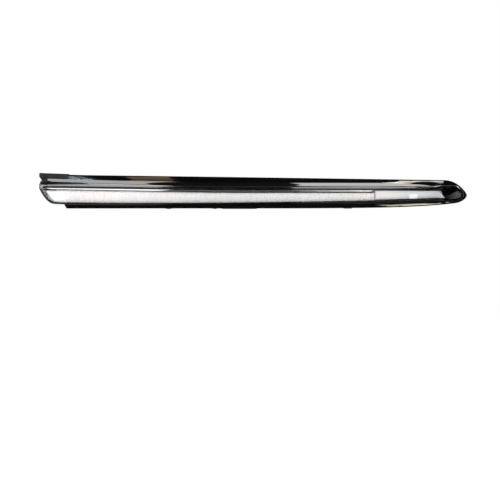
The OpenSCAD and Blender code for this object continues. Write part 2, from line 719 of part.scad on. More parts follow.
// Fixing points, pins and hooks of the housing
module boss_places() {
    for (i = [-1 : 1]) translate([i * boss_pitch, mount_d, fix_z]) children();
}
module bosses() {
    for (x = [-boss_pitch, 0, boss_pitch])
        translate([x, 0, fix_z]) rod(boss_r, bow_y(x, housing_d) - 1, mount_d);
}
pin_x = x_l + 38;
fin_x = x_n - 26;
module feed_places() {
    for (s = [-1, 1]) translate([feed_x + s * feed_p / 2, 0, feed_z]) children();
}
module driver_posts() {
    for (x = [driver_x0 + 3, driver_x1 - 3]) translate([x, 0, driver_z0 + 3]) children();
    translate([(driver_x0 + driver_x1) / 2 + 8, 0, driver_z1 - 3]) children();
}
module cover_corners() {
    for (x = [box_x0 + corner, box_x1 - corner], z = [box_z0 + corner, box_z1 - corner])
        translate([x, 0, z]) children();
}
module box_cavity() {
    block(box_x0 + wall_h, box_x1 - wall_h, 0, box_y + 1, box_z0 + wall_h, box_z1 - wall_h);
}
module housing_hooks() {
    for (h = sill_hooks) on_bow(h[0], sill_flange_d) {
        z0 = outline_low(h[0]) - hook_proud;
        block(-h[1] / 2, h[1] / 2, gap, gap + hook_t, z0, lens_low(h[0]) + 0.5);
        block(-h[1] / 2, h[1] / 2, -1.4, gap + 0.1, z0, z0 + hook_proud - 0.12);
    }
    for (x = top_hooks) on_bow(x, top_flange_d)
        block(-5, 5, gap, gap + hook_t, lens_top(x) - 0.5, outline_top(x) - 0.8);
}
module shut_rib() {
    xs = leg_x(x_l + 0.8, x_l + 70, 10);
    intersection() {
        bow_slab(skirt_d + 1, skirt_d + 3);
        prism(-5, 80) polygon(concat(
            [for (x = xs) [x, seat_top(x) + 1.2]],
            [for (i = [len(xs) - 1 : -1 : 0]) [xs[i], lens_top(xs[i]) - 0.5]]
        ));
    }
}
module housing_ribs() {
    for (x = [x_l + 16 : 22 : x_n - 10])
        if ((x < box_x0 - 2 || x > box_x1 + 2) && abs(x - vent_x) > vent_r + 4)
            intersection() {
                bow_slab(housing_d - 0.5, housing_d + 2.5);
                prism(-5, 80) intersection() {
                    body_to(x_n, 0.6);
                    translate([x - 0.7, -20]) square([1.4, 50]);
                }
            }
}
module housing() {
    color([0.1, 0.1, 0.105]) placed() difference() {
        union() {
            difference() {
                intersection() {
                    bow_slab(skirt_d + gap + 0.1, housing_d);
                    prism(-5, 80) seat_outline();
                }
                intersection() {
                    bow_slab(skirt_d, d_cavity);
                    prism(-5, 80) offset(delta = -wall_h) seat_outline();
                }
                box_bite();
            }
            difference() {
                intersection() {
                    bow_slab(housing_d - 0.1, mount_d + 10);
                    block(box_x0, box_x1, 0, box_y, box_z0, box_z1);
                }
                difference() {
                    box_cavity();
                    bow_slab(-5, housing_d);
                    cover_corners() rod(column_r, d_cavity, box_y);
                    driver_posts() rod(post_r, d_cavity - 4, driver_y - 0.02);
                }
                cover_corners() rod(screw_r, box_y - 6, box_y + 1);
            }
            bosses();
            shut_rib();
            translate([pin_x, 0, fix_z]) rod(pin_r + 1.5, bow_y(pin_x, housing_d) - 1, mount_d);
            translate([pin_x, 0, fix_z]) rod(pin_r, mount_d - 1, mount_d + pin_l);
            translate([fin_x, 0, fix_z])
                block(-4, 4, bow_y(fin_x, housing_d) - 0.8, mount_d + pin_l - 1, -1.2, 1.2);
            on_bow(vent_x, housing_d) translate([0, 0, fix_z]) rod(vent_r, -0.2, 3);
            housing_ribs();
            housing_hooks();
            intersection() {
                board_screw_places() rod(3, board_t + spread_t + 0.2, 7);
                bow_slab(d_spread + spread_t + 0.05, d_cavity + 0.5);
                prism(-5, 80) body_to(x_n, 0.5);
            }
        }
        boss_places() rod(thread_r + 1.4, -insert_l - 0.05, 1);
        board_screw_places() rod(screw_r, 0, d_cavity - d_board + 0.3);
        on_bow(vent_x, housing_d) translate([0, 0, fix_z]) rod(vent_hole_r, -5, 5);
        feed_places() rod(feed_r + 0.6, d_board, driver_y - 1);
        driver_posts() rod(screw_r, driver_y - 4, driver_y + 1);
    }
}
module box_bite() {
    intersection() {
        bow_slab(housing_d - 0.05, housing_d + 5);
        block(box_x0 + wall_h, box_x1 - wall_h, 0, box_y, box_z0 + wall_h, box_z1 - wall_h);
    }
}
module mount_inserts() {
    color([0.8, 0.65, 0.3]) placed() boss_places() difference() {
        rod(thread_r + 1.4, -insert_l, 0);
        rod(thread_r, -insert_l - 1, 1);
    }
}
module vent_cap() {
    color([0.12, 0.12, 0.12]) placed() on_bow(vent_x, housing_d) translate([0, 0, fix_z]) difference() {
        rod(vent_r + 1.6, 1, 5.2);
        rod(vent_r + 0.05, 0, 3.9);
        for (a = [0 : 45 : 315]) rotate([0, a, 0]) block(-0.7, 0.7, 0, 2, vent_r + 0.2, vent_r + 2);
    }
}
module vent_membrane() {
    color([0.95, 0.95, 0.95]) placed() on_bow(vent_x, housing_d) translate([0, 0, fix_z])
        rod(vent_r - 0.6, 3.02, 3.3);
}

// Driver board and its parts
module driver_board() {
    color([0.1, 0.35, 0.2]) placed() difference() {
        block(driver_x0, driver_x1, driver_y, driver_y + board_t, driver_z0, driver_z1);
        driver_posts() rod(screw_r + slack, driver_y - 1, driver_top + 1);
        feed_places() rod(feed_r + slack, driver_y - 1, driver_top + 1);
        cover_corners() rod(column_r + 0.4, driver_y - 1, driver_top + 1);
        blade_places() block(-blade_w / 2 - slack, blade_w / 2 + slack, driver_y - 1, driver_top + 1,
            -blade_t / 2 - slack, blade_t / 2 + slack);
    }
}
module driver_screws() {
    color([0.6, 0.6, 0.62]) placed() driver_posts() union() {
        rod(screw_r, driver_y - 3.5, driver_y + board_t);
        rod(head_r, driver_y + board_t, driver_y + board_t + head_t);
    }
}
module driver_coil() {
    color([0.45, 0.28, 0.12]) placed() translate([feed_x - coil_in, 0, row_z - 0.5]) difference() {
        rod(3.6, driver_top, driver_top + 3.6);
        rod(1.4, driver_top + 1, driver_top + 4);
    }
}
module driver_capacitors() {
    color([0.5, 0.5, 0.55]) placed()
        for (s = [0, 1]) translate([feed_x - can_in - s * can_p, 0, row_z - 0.5])
            rod(can_r, driver_top, driver_top + 3.4);
}
module driver_chips() {
    color([0.06, 0.06, 0.06]) placed()
        for (c = chips)
            translate([feed_x + c[0], 0, row_z - 1.2])
                block(0, c[1], driver_top, driver_top + 1.2, -c[2] / 2, c[2] / 2);
}
module feed_pins() {
    color([0.85, 0.7, 0.35]) placed() feed_places() rod(feed_r, bow_y(feed_x, d_board) - 0.8, driver_top + 0.8);
}

// Finned cover, its seal and screws
module cover_seal() {
    color([0.08, 0.08, 0.08]) placed() difference() {
        block(box_x0 + 0.2, box_x1 - 0.2, box_y, box_y + seal_t, box_z0 + 0.2, box_z1 - 0.2);
        block(box_x0 + 0.2 + seal_w, box_x1 - 0.2 - seal_w, box_y - 1, box_y + 2, box_z0 + 0.2 + seal_w, box_z1 - 0.2 - seal_w);
        cover_corners() rod(screw_r + 0.3, box_y - 1, box_y + 2);
    }
}
module rear_cover() {
    y0 = box_y + seal_t;
    fin_n = floor((fins_x1 - box_x0 - 6) / fin_p);
    color([0.62, 0.63, 0.65]) placed() difference() {
        union() {
            block(box_x0, box_x1, y0, y0 + cover_t, box_z0, box_z1);
            for (i = [0 : fin_n])
                translate([(box_x0 + 6 + fins_x1) / 2 + (i - fin_n / 2) * fin_p, 0, 0])
                    block(-0.6, 0.6, y0, y0 + cover_t + fin_h, box_z0 + 1, box_z1 - 1);
        }
        cover_corners() rod(screw_r + slack, y0 - 1, y0 + cover_t + 1);
        translate([socket_x, 0, row_z - 0.6]) prism(y0 - 1, y0 + cover_t + 1)
            rounded(socket_w - 1 + 2 * slack, socket_h - 1 + 2 * slack, 1);
    }
}
module cover_screws() {
    y1 = box_y + seal_t + cover_t;
    color([0.55, 0.55, 0.57]) placed() cover_corners() difference() {
        union() {
            rod(screw_r, y1 - 7, y1);
            rod(head_r, y1, y1 + head_t);
        }
        translate([0, y1 + head_t - 0.6, 0]) rotate([-90, 0, 0]) cylinder(r = 0.8, h = 1, $fn = 6);
    }
}

// Connector: shell seated in the cover's window, blades soldered to the driver board
shell_y = box_y + seal_t + cover_t + 0.6;
module blade_places() {
    for (i = [-1 : 1]) translate([socket_x + i * blade_p, 0, row_z - 0.6]) children();
}
module rounded(w, h, r) {
    offset(r = r, $fn = 32) square([w - 2 * r, h - 2 * r], center = true);
}
module connector_shell() {
    y0 = shell_y;
    color([0.14, 0.14, 0.15]) placed() translate([socket_x, 0, row_z - 0.6]) difference() {
        union() {
            prism(y0, y0 + socket_l) rounded(socket_w + 2 * socket_t, socket_h + 2 * socket_t, 2);
            prism(y0, y0 + 1.6) rounded(socket_w + 2 * socket_t + 2.4, socket_h + 2 * socket_t + 1.6, 2);
            prism(box_y, y0 + 0.1) rounded(socket_w - 1, socket_h - 1, 1);
            translate([0, 0, socket_h / 2 + socket_t]) block(-2.5, 2.5, y0 + 6, y0 + 9, -0.4, 1.2);
        }
        prism(y0 + 3, y0 + socket_l + 1) rounded(socket_w, socket_h, 1.2);
        for (i = [-1 : 1]) translate([i * blade_p, 0, 0])
            block(-blade_w / 2 - slack, blade_w / 2 + slack, box_y - 1, y0 + 4, -blade_t / 2 - slack, blade_t / 2 + slack);
    }
}
module connector_blades() {
    color([0.8, 0.72, 0.45]) placed() blade_places()
        block(-blade_w / 2, blade_w / 2, driver_y - 0.5, shell_y + socket_l - 5, -blade_t / 2, blade_t / 2);
}
module connector_seal() {
    color([0.75, 0.3, 0.12]) placed() translate([socket_x, 0, row_z - 0.6])
        prism(shell_y - 0.58, shell_y - 0.02) difference() {
            rounded(socket_w + 2 * socket_t + 1, socket_h + 2 * socket_t, 2);
            rounded(socket_w, socket_h, 1.2);
        }
}

surround();
end_cap();
chrome_strip();
strip_tape();
outer_lens();
lens_seal();
bezel();
light_bar();
tip_optic();
tip_mask();
reflector();
leds();
led_board_1();
led_board_2();
led_board_3();
led_board_4();
board_links();
board_screws();
heat_spreader();
housing();
mount_inserts();
vent_cap();
vent_membrane();
driver_board();
driver_screws();
driver_coil();
driver_capacitors();
driver_chips();
feed_pins();
cover_seal();
rear_cover();
cover_screws();
connector_shell();
connector_blades();
connector_seal();
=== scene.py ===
import json
import math

import bmesh
import bpy
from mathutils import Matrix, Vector


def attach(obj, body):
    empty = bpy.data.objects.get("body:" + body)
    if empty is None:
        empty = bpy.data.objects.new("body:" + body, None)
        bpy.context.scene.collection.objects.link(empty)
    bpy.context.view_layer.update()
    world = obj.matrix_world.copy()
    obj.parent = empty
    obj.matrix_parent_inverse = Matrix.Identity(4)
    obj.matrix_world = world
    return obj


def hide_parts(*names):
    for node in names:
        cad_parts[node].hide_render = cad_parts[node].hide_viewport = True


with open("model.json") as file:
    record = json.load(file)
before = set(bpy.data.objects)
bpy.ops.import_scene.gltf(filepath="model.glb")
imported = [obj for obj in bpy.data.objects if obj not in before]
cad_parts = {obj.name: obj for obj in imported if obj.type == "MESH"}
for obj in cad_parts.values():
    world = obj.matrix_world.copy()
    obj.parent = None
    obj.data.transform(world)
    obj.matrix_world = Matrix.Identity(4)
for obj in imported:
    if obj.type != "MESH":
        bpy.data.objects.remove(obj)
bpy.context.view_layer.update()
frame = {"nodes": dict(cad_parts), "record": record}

scene = bpy.context.scene
scene.view_settings.view_transform = "Standard"

# Sizes in mm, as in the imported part: x along, z up, d square to the bow behind the lens face. Some
# follow the photograph more closely than the solids do: the crease stands up to 1 mm higher over a
# strip 0.4 mm taller, the shut line at the blunt end opens 0.7 mm wider, and the end cap's cut
# corner is 1 mm shorter.
LAMP_L, TOP_H, TOP_FALL, KICK_H = 430.0, 19.9, 6.0, 1.0
SILL_H, SILL_RISE, SILL_RISE_X = 11.3, 5.2, 46.0
NOSE_L, NOSE_H, SILL_START, SILL_LEAN = 23.6, 2.0, 27.5, 3.0
BOW_R, TOP_FLANGE_D, SILL_FLANGE_D, SKIRT_D, MOUNT_D = 1000.0, 22.0, 20.0, 8.6, 54.0
WALL_S, CREASE_H, CREASE_RISE, CREASE_DROP = 1.6, 14.9, 4.6, 3.3
RING_W, LAP, STRIP_W, TAPE_T = 3.6, 1.5, 3.8, 0.4
CAP_L, CAP_PROUD, CAP_CUT = 30.0, 0.7, 3.4
WALL_L, WIN_H, WIN_LOW, WIN_RISE, LIP_W, GROOVE_W = 1.6, 4.4, 6.05, 3.4, 2.6, 1.9
FLUTE_P, FLUTE_D, BAR_T, OPTIC_W = 2.5, 0.5, 3.0, 8.0
GAP, SHUT, SLACK, FIX_Z = 0.3, 1.7, 0.1, 2.2
X_L, X_R = -LAMP_L / 2, LAMP_L / 2
X_N = X_R - NOSE_L
JOINT_X = X_N - 69.4
NOSE_LOW_L = 12.5
KICK_L, RING_L, DROP_L, SHUT_L, LEAN_L = 48.0, 32.0, 66.0, 45.0, 6.0
CREASE_BEND_X, WIN_BEND_X, WIN_BEND_L = -40.0, -20.0, 185.0
LOW_X, LOW_RISE_L, LOW_LEFT_L = -104.0, 250.0, 100.0  # lowest place of the window's bottom edge
DIP_X, DIP_L = X_N - 8, 18.0
END_BACK, END_BACK_L = 3.4, 9.0  # how far the blunt end of the lens curves back
X_C0, X_C1 = X_N + NOSE_L * 0.47, X_R - RING_W
END_L, END_Z, WIN_L, WIN_END, WIN_X1, WIN_LEAN = 15.2, 8.5, 7.2, 11.0, X_N + 1.6, 6.0
WIN_LEFT_RISE, TIP_DIP = 2.5, 2.3
D_FLOOR, D_BAND, D_EDGE, D_BEZEL, D_BAR = 2.8, 0.6, -0.6, 2.9, 5.6
LENS_SLACK = GAP + 0.15
X_END = X_C1 + LAP - LENS_SLACK
LENS_X1, MASK_X1 = X_END - 0.6, X_END - 3.4
BAR_X0 = X_L + WIN_L
STRIP_X0, STRIP_X1 = X_L + 8.5, X_N - 6.5
BEZEL_GAP = WALL_L + GAP
D_FOOT, CAP_X1 = SKIRT_D - GAP, X_L + CAP_L
END_FINE = 17.5  # length at the blunt end where the sections stand closer
JOIN_X0, JOIN_X1, JOIN_L = X_L + 44, X_N - 23, 8.0  # where the strip hides its joint with the cover
FOAM_D0, FOAM_D1 = 7.2, 7.9
MAX_SHARE = 0.42  # of the face's width, for a wall or a lap


def clamp(t):
    return min(1.0, max(0.0, t))


def ease(t):
    c = clamp(t)
    return c * c * (3 - 2 * c)


def mix(a, b, t):
    return a + (b - a) * t


def round_off(t, p, q):
    return max(0.0, 1 - clamp(t) ** p) ** q


def bow_y(x, d):
    return BOW_R - math.sqrt((BOW_R - d) ** 2 - x * x)


def pt(x, z, d):
    """A point of the bowed lamp, in mm, in the row frame."""
    return Vector((x, bow_y(x, d) - MOUNT_D, z - FIX_Z))


def top_line(x):
    return TOP_H - TOP_FALL * x / LAMP_L + KICK_H * clamp((X_L + KICK_L - x) / KICK_L) ** 1.5


def outline_top(x):
    return NOSE_H + (top_line(x) - NOSE_H) * round_off((x - X_N) / NOSE_L, 2.2, 0.8)


def sill_line(x):
    u = max(0.0, (x - SILL_RISE_X) / (X_R - NOSE_LOW_L - SILL_RISE_X))
    return -SILL_H + SILL_RISE * (0.2 * u + 0.8 * u**4)


def outline_low(x):
    k = round_off((x - X_R + NOSE_LOW_L) / NOSE_LOW_L, 2.2, 0.55)
    return NOSE_H + (sill_line(x) - NOSE_H) * k


def crease_line(x):
    rise = CREASE_RISE * clamp((CREASE_BEND_X - x) / (CREASE_BEND_X - X_L)) ** 1.2
    return CREASE_H + rise - CREASE_DROP * clamp((x - X_N + DROP_L) / DROP_L) ** 2


def crease_top(x):
    return NOSE_H + (crease_line(x) - NOSE_H) * round_off((x - X_C0) / (X_C1 - X_C0), 2.4, 0.6)


def win_low_line(x):
    rise = WIN_RISE * max(0.0, (x - LOW_X) / LOW_RISE_L) ** 2
    return -WIN_LOW + rise + max(0.0, (LOW_X - x) / LOW_LEFT_L) ** 2


def crease_low(x):
    low = win_low_line(x) - 0.5 - TIP_DIP * ease((x - DIP_X) / DIP_L)
    return NOSE_H + (low - NOSE_H) * round_off((x - X_C0) / (X_C1 - X_C0), 2.2, 0.55)


def ring_k(x):
    return clamp((x - X_N + RING_L) / RING_L) ** 3


def floor_d(x):
    return mix(D_FLOOR, D_EDGE + 0.7, ring_k(x))


def seat_top(x):
    return crease_top(x) - mix(STRIP_W, -LAP, ring_k(x))


def between(a, b, t):
    return (mix(a[0], b[0], t), mix(a[1], b[1], t))


def span(a, b):
    return math.hypot(b[0] - a[0], b[1] - a[1])


def toward(a, b, w):
    s = span(a, b)
    return between(a, b, min(w, MAX_SHARE * s) / s)


def lap_at(o, c, w):
    s = span(o, c)
    return between(c, o, (min(LAP, MAX_SHARE * s) - w) / s)


def nose_pair(a, side):
    """Outline and crease of the nose at the angle a, on the upper (1) or the lower (-1) side."""
    sn = math.sin(math.radians(a))
    xo, xc = mix(X_N, X_R, sn), mix(X_N, X_C1, sn)
    if side > 0:
        return (xo, outline_top(xo)), (xc, crease_top(xc))
    return (xo, outline_low(xo)), (xc, crease_low(xc))


NOSE_EDGE = {side: [lap_at(*nose_pair(2.5 * i, side), LENS_SLACK) for i in range(37)] for side in (1, -1)}


def nose_edge(x, side):
    q = NOSE_EDGE[side]
    for a, b in zip(q, q[1:]):
        if x <= b[0]:
            return mix(a[1], b[1], clamp((x - a[0]) / (b[0] - a[0])))
    return q[-1][1]


def lens_top(x):
    if x > X_N:
        return nose_edge(x, 1)
    return seat_top(x) - GAP - SHUT * clamp((X_L + SHUT_L + 2 - x) / SHUT_L)


def lens_low(x):
    if x > X_N:
        return nose_edge(x, -1)
    drop = (1 - clamp((x - X_L) / END_L)) ** 2
    return mix(crease_low(x) - LAP + GAP, END_Z, drop)


def win_top(x):
    return WIN_H + WIN_LEFT_RISE * clamp((WIN_BEND_X - x) / WIN_BEND_L) ** 1.2


def win_floor(x):
    drop = (1 - clamp((x - X_L - WIN_L) / WIN_END)) ** 2
    return mix(win_low_line(x) + 0.1, win_top(x) - 0.6, drop)


def groove_low(x):
    return win_top(x) + LIP_W


def groove_top(x):
    return groove_low(x) + GROOVE_W


def lens_end(x):
    return END_BACK * (1 - clamp((x - X_L) / END_BACK_L)) ** 2


def inner_top(x, w):
    return min(lens_top(x - w), lens_top(x + w)) - w


def inner_low(x, w):
    return max(lens_low(x - w), lens_low(x + w)) + w


# Mesh helpers
def steps(a, b, n):
    return [mix(a, b, i / n) for i in range(n + 1)]


def soften(points, radius, n=3, closed=True):
    """Rounds the corners of a line of points by small curves, the same number of points each."""
    out, m = [], len(points)
    for i, p in enumerate(points):
        if not closed and i in (0, m - 1):
            out.append(p)
            continue
        a, b = points[i - 1], points[(i + 1) % m]
        r = radius[i] if isinstance(radius, list) else radius
        la, lb = (a - p).length, (b - p).length
        qa = p + (a - p) * min(0.46, r / max(la, 1e-6))
        qb = p + (b - p) * min(0.46, r / max(lb, 1e-6))
        for k in range(n):
            t = k / (n - 1)
            out.append(qa * (1 - t) ** 2 + p * (2 * t * (1 - t)) + qb * t * t)
    return out


def add_mesh(name, verts, faces, sharp):
    """A mesh object from points in mm, with its normals outward and smooth below the sharp angle."""
    me = bpy.data.meshes.new(name)
    me.from_pydata([tuple(v * 0.001) for v in verts], [], faces)
    me.validate()
    bm = bmesh.new()
    bm.from_mesh(me)
    bmesh.ops.recalc_face_normals(bm, faces=bm.faces)
    bm.to_mesh(me)
    bm.free()
    me.polygons.foreach_set("use_smooth", [True] * len(me.polygons))
    me.set_sharp_from_angle(angle=math.radians(sharp))
    ob = bpy.data.objects.new(name, me)
    scene.collection.objects.link(ob)
    return ob


def loft(name, rings, sharp=40):
    n = len(rings[0])
    verts = [v for r in rings for v in r]
    faces = [tuple(range(n)), tuple((len(rings) - 1) * n + j for j in reversed(range(n)))]
    for i in range(len(rings) - 1):
        for j in range(n):
            k = (j + 1) % n
            faces.append((i * n + j, (i + 1) * n + j, (i + 1) * n + k, i * n + k))
    return add_mesh(name, verts, faces, sharp)


def stand_for(ob, slot_name, *nodes, look=None):
    """Fixes a piece to the body in place of the nodes, with its own look or the slot's material."""
    ob.data.materials.append(M[look or slot_name])
    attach(ob, "root")
    if nodes:
        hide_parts(*nodes)


# Materials: object coordinates only, in metres
LOW, HIGH = 0.3, 0.7  # most of a noise lies between these


def new_material(name):
    m = bpy.data.materials.new(name)
    m.use_nodes = True
    nt = m.node_tree
    return m, nt, nt.nodes["Principled BSDF"]


def coords(nt, scale=(1, 1, 1)):
    tc = nt.nodes.new("ShaderNodeTexCoord")
    mp = nt.nodes.new("ShaderNodeMapping")
    mp.inputs["Scale"].default_value = scale
    nt.links.new(tc.outputs["Object"], mp.inputs["Vector"])
    return mp.outputs["Vector"]


def noise(nt, vec, scale, detail=3.0):
    n = nt.nodes.new("ShaderNodeTexNoise")
    n.inputs["Scale"].default_value = scale
    n.inputs["Detail"].default_value = detail
    n.inputs["Roughness"].default_value = 0.55
    nt.links.new(vec, n.inputs["Vector"])
    return n.outputs["Fac"]


def ramp(nt, fac, stops):
    r = nt.nodes.new("ShaderNodeValToRGB")
    e = r.color_ramp.elements
    while len(e) < len(stops):
        e.new(0.5)
    for el, (pos, col) in zip(e, stops):
        el.position = pos
        el.color = (*col, 1)
    nt.links.new(fac, r.inputs["Fac"])
    return r.outputs["Color"]


def remap(nt, fac, a, b):
    r = nt.nodes.new("ShaderNodeMapRange")
    r.inputs["From Min"].default_value = LOW
    r.inputs["From Max"].default_value = HIGH
    r.inputs["To Min"].default_value = a
    r.inputs["To Max"].default_value = b
    nt.links.new(fac, r.inputs["Value"])
    return r.outputs["Result"]


def bump(nt, bsdf, height, strength, distance):
    b = nt.nodes.new("ShaderNodeBump")
    b.inputs["Strength"].default_value = strength
    b.inputs["Distance"].default_value = distance
    nt.links.new(height, b.inputs["Height"])
    nt.links.new(b.outputs["Normal"], bsdf.inputs["Normal"])


def surface(name, dark, light, rough, metal=0.0, coat=0.0, mottle=60, grain=900, relief=0.1,
            depth=0.0001, stretch=(1, 1, 1), spec=0.5):
    """A moulded, cast, plated or painted finish: mottled colour, uneven gloss and a fine relief."""
    m, nt, b = new_material(name)
    v = coords(nt, stretch)
    nt.links.new(ramp(nt, noise(nt, v, mottle), [(LOW, dark), (HIGH, light)]), b.inputs["Base Color"])
    nt.links.new(remap(nt, noise(nt, v, mottle * 2.7), rough[0], rough[1]), b.inputs["Roughness"])
    b.inputs["Metallic"].default_value = metal
    b.inputs["Specular IOR Level"].default_value = spec
    b.inputs["Coat Weight"].default_value = coat
    b.inputs["Coat Roughness"].default_value = 0.02
    if relief:
        bump(nt, b, noise(nt, v, grain, 2.0), relief, depth)
    return m


M = {
    "gloss_black": surface("gloss_black", (0.0012, 0.0012, 0.0014), (0.0025, 0.0025, 0.0028), (0.05, 0.12),
                           coat=0.2, mottle=25, grain=260, relief=0.02, depth=0.0001, spec=0.25),
    "matt_black": surface("matt_black", (0.009, 0.009, 0.0095), (0.019, 0.019, 0.02), (0.42, 0.62),
                          mottle=120, grain=2600, relief=0.35, depth=0.00006),
    "black_plastic": surface("black_plastic", (0.022, 0.022, 0.023), (0.036, 0.036, 0.038), (0.34, 0.52),
                             mottle=70, grain=2200, relief=0.3, depth=0.00005),
    "chrome": surface("chrome", (0.72, 0.72, 0.72), (0.82, 0.82, 0.83), (0.03, 0.07), metal=1.0,
                      mottle=30, grain=90, relief=0.01, depth=0.0001, stretch=(0.25, 1, 1)),
    "satin_grey": surface("satin_grey", (0.07, 0.07, 0.075), (0.12, 0.12, 0.125), (0.3, 0.45),
                          metal=0.3, mottle=200, grain=1500, relief=0.1, depth=0.00004),
    "white_plastic": surface("white_plastic", (0.80, 0.80, 0.78), (0.88, 0.88, 0.86), (0.3, 0.45),
                             mottle=50),
    "board_white": surface("board_white", (0.74, 0.75, 0.73), (0.84, 0.85, 0.84), (0.3, 0.45), mottle=90),
    "board_green": surface("board_green", (0.010, 0.075, 0.030), (0.018, 0.11, 0.045), (0.25, 0.4),
                           mottle=260),
    "led_yellow": surface("led_yellow", (0.85, 0.62, 0.10), (0.92, 0.72, 0.18), (0.25, 0.4), mottle=600),
    "steel": surface("steel", (0.42, 0.42, 0.44), (0.60, 0.60, 0.62), (0.22, 0.38), metal=1.0, mottle=400,
                     grain=3000, relief=0.15, depth=0.00004),
    "brass": surface("brass", (0.55, 0.36, 0.13), (0.76, 0.54, 0.22), (0.2, 0.36), metal=1.0, mottle=300,
                     grain=1500, relief=0.2, depth=0.00006),
    "aluminium": surface("aluminium", (0.48, 0.48, 0.49), (0.62, 0.62, 0.63), (0.36, 0.52), metal=1.0,
                         mottle=150, grain=1700, relief=0.3, depth=0.00008),
    "rubber": surface("rubber", (0.012, 0.012, 0.012), (0.022, 0.022, 0.022), (0.6, 0.8), mottle=300,
                      grain=1800, relief=0.3, depth=0.00006, spec=0.3),
    "seal_red": surface("seal_red", (0.40, 0.09, 0.03), (0.52, 0.13, 0.05), (0.45, 0.6), mottle=200),
    "component": surface("component", (0.03, 0.03, 0.032), (0.06, 0.06, 0.062), (0.4, 0.55), mottle=300,
                         grain=2500, relief=0.25, depth=0.00004),
}


def clear_lens():
    """Clear cover: a mirror-like skin that is see-through where it faces the viewer."""
    m, nt, b = new_material("clear")
    v = coords(nt)
    tint = ramp(nt, noise(nt, v, 12), [(LOW, (0.93, 0.95, 1.0)), (HIGH, (1, 1, 1))])
    nt.links.new(tint, b.inputs["Base Color"])
    nt.links.new(remap(nt, noise(nt, v, 40), 0.01, 0.03), b.inputs["Roughness"])
    b.inputs["Metallic"].default_value = 1.0
    lw = nt.nodes.new("ShaderNodeLayerWeight")
    lw.inputs["Blend"].default_value = 0.5
    r = nt.nodes.new("ShaderNodeMapRange")
    r.interpolation_type = "SMOOTHSTEP"
    r.inputs["From Min"].default_value = 0.25
    r.inputs["From Max"].default_value = 1.0
    r.inputs["To Min"].default_value = 0.035
    r.inputs["To Max"].default_value = 0.6
    nt.links.new(lw.outputs["Facing"], r.inputs["Value"])
    nt.links.new(r.outputs["Result"], b.inputs["Alpha"])
    return m


def opal(name, stops, x0, x1, painted_glow, lines=0.0):
    """Moulding coloured along x as the stops say: the stops paint light and shade over its colour, and any
    glow is painted light, not a lit lamp.
    """
    m, nt, b = new_material(name)
    tc = nt.nodes.new("ShaderNodeTexCoord")
    sep = nt.nodes.new("ShaderNodeSeparateXYZ")
    nt.links.new(tc.outputs["Object"], sep.inputs[0])
    r = nt.nodes.new("ShaderNodeMapRange")
    r.inputs["From Min"].default_value = x0 * 0.001
    r.inputs["From Max"].default_value = x1 * 0.001
    nt.links.new(sep.outputs["X"], r.inputs["Value"])
    col = ramp(nt, r.outputs["Result"], stops)
    nt.links.new(col, b.inputs["Base Color"])
    nt.links.new(col, b.inputs["Emission Color"])
    b.inputs["Emission Strength"].default_value = painted_glow
    nt.links.new(remap(nt, noise(nt, coords(nt), 150), 0.35, 0.5), b.inputs["Roughness"])
    if lines:
        w = nt.nodes.new("ShaderNodeTexWave")
        w.bands_direction = "X"
        w.inputs["Scale"].default_value = 40.0
        nt.links.new(tc.outputs["Object"], w.inputs["Vector"])
        bump(nt, b, w.outputs["Fac"], lines, 0.0002)
    return m


M["clear"] = clear_lens()
# The light bar's white carries painted light and shade along x, bluish at the blunt end and greyer in the
# middle. Its faint glow is painted light; the bar is not lit.
M["opal_white"] = opal("opal_white", [
    (0.0, (0.72, 0.80, 0.86)), (0.035, (0.78, 0.83, 0.87)), (0.06, (0.79, 0.78, 0.78)),
    (0.11, (0.84, 0.78, 0.77)), (0.30, (0.81, 0.77, 0.765)), (0.50, (0.73, 0.72, 0.71)),
    (0.78, (0.745, 0.735, 0.73)), (0.90, (0.76, 0.73, 0.71)), (1.0, (0.82, 0.785, 0.765)),
], BAR_X0, JOINT_X, 0.12)
# The end guide's colour is painted shade along x, greyer and bluish toward the slanted end. Its faint glow
# is painted light.
M["optic"] = opal("optic", [
    (0.0, (0.86, 0.83, 0.82)), (0.2, (0.90, 0.86, 0.85)), (0.45, (0.76, 0.76, 0.76)),
    (0.65, (0.73, 0.74, 0.75)), (1.0, (0.56, 0.60, 0.64)),
], JOINT_X, WIN_X1, 0.07, lines=0.1)
# The square insert's white glow is painted light.
M["optic_square"] = opal("optic_square", [(0.0, (0.84, 0.84, 0.84)), (1.0, (0.82, 0.83, 0.84))],
                         JOINT_X, WIN_X1, 0.28)
# Fine line under the lip: painted shadow, black from about half way on, and painted lighter toward the
# blunt end.
M["lip_shadow_paint"] = opal("lip_shadow_paint", [
    (0.0, (0.85, 0.85, 0.85)), (0.28, (0.65, 0.65, 0.65)), (0.45, (0.02, 0.02, 0.02)),
    (1.0, (0.03, 0.03, 0.03)),
], X_L, JOINT_X, 0.0)
# Painted sheen on the nose's lower flank: near black by the window, grey toward the point.
M["flank_sheen_paint"] = opal("flank_sheen_paint", [
    (0.0, (0.004, 0.004, 0.004)), (0.35, (0.02, 0.02, 0.021)), (1.0, (0.16, 0.16, 0.165)),
], X_N, MASK_X1, 0.0)

SLOT = {s["node"]: s["material_slot"] for s in frame["record"]["subparts"]}
for name, ob in frame["nodes"].items():
    ob.data.materials.clear()
    ob.data.materials.append(M[SLOT[name]])


# Surround and end cap
FACE = [0.0, 0.1, 0.2, 0.31, 0.42, 0.53, 0.64, 0.74, 0.83, 0.92, 1.0]


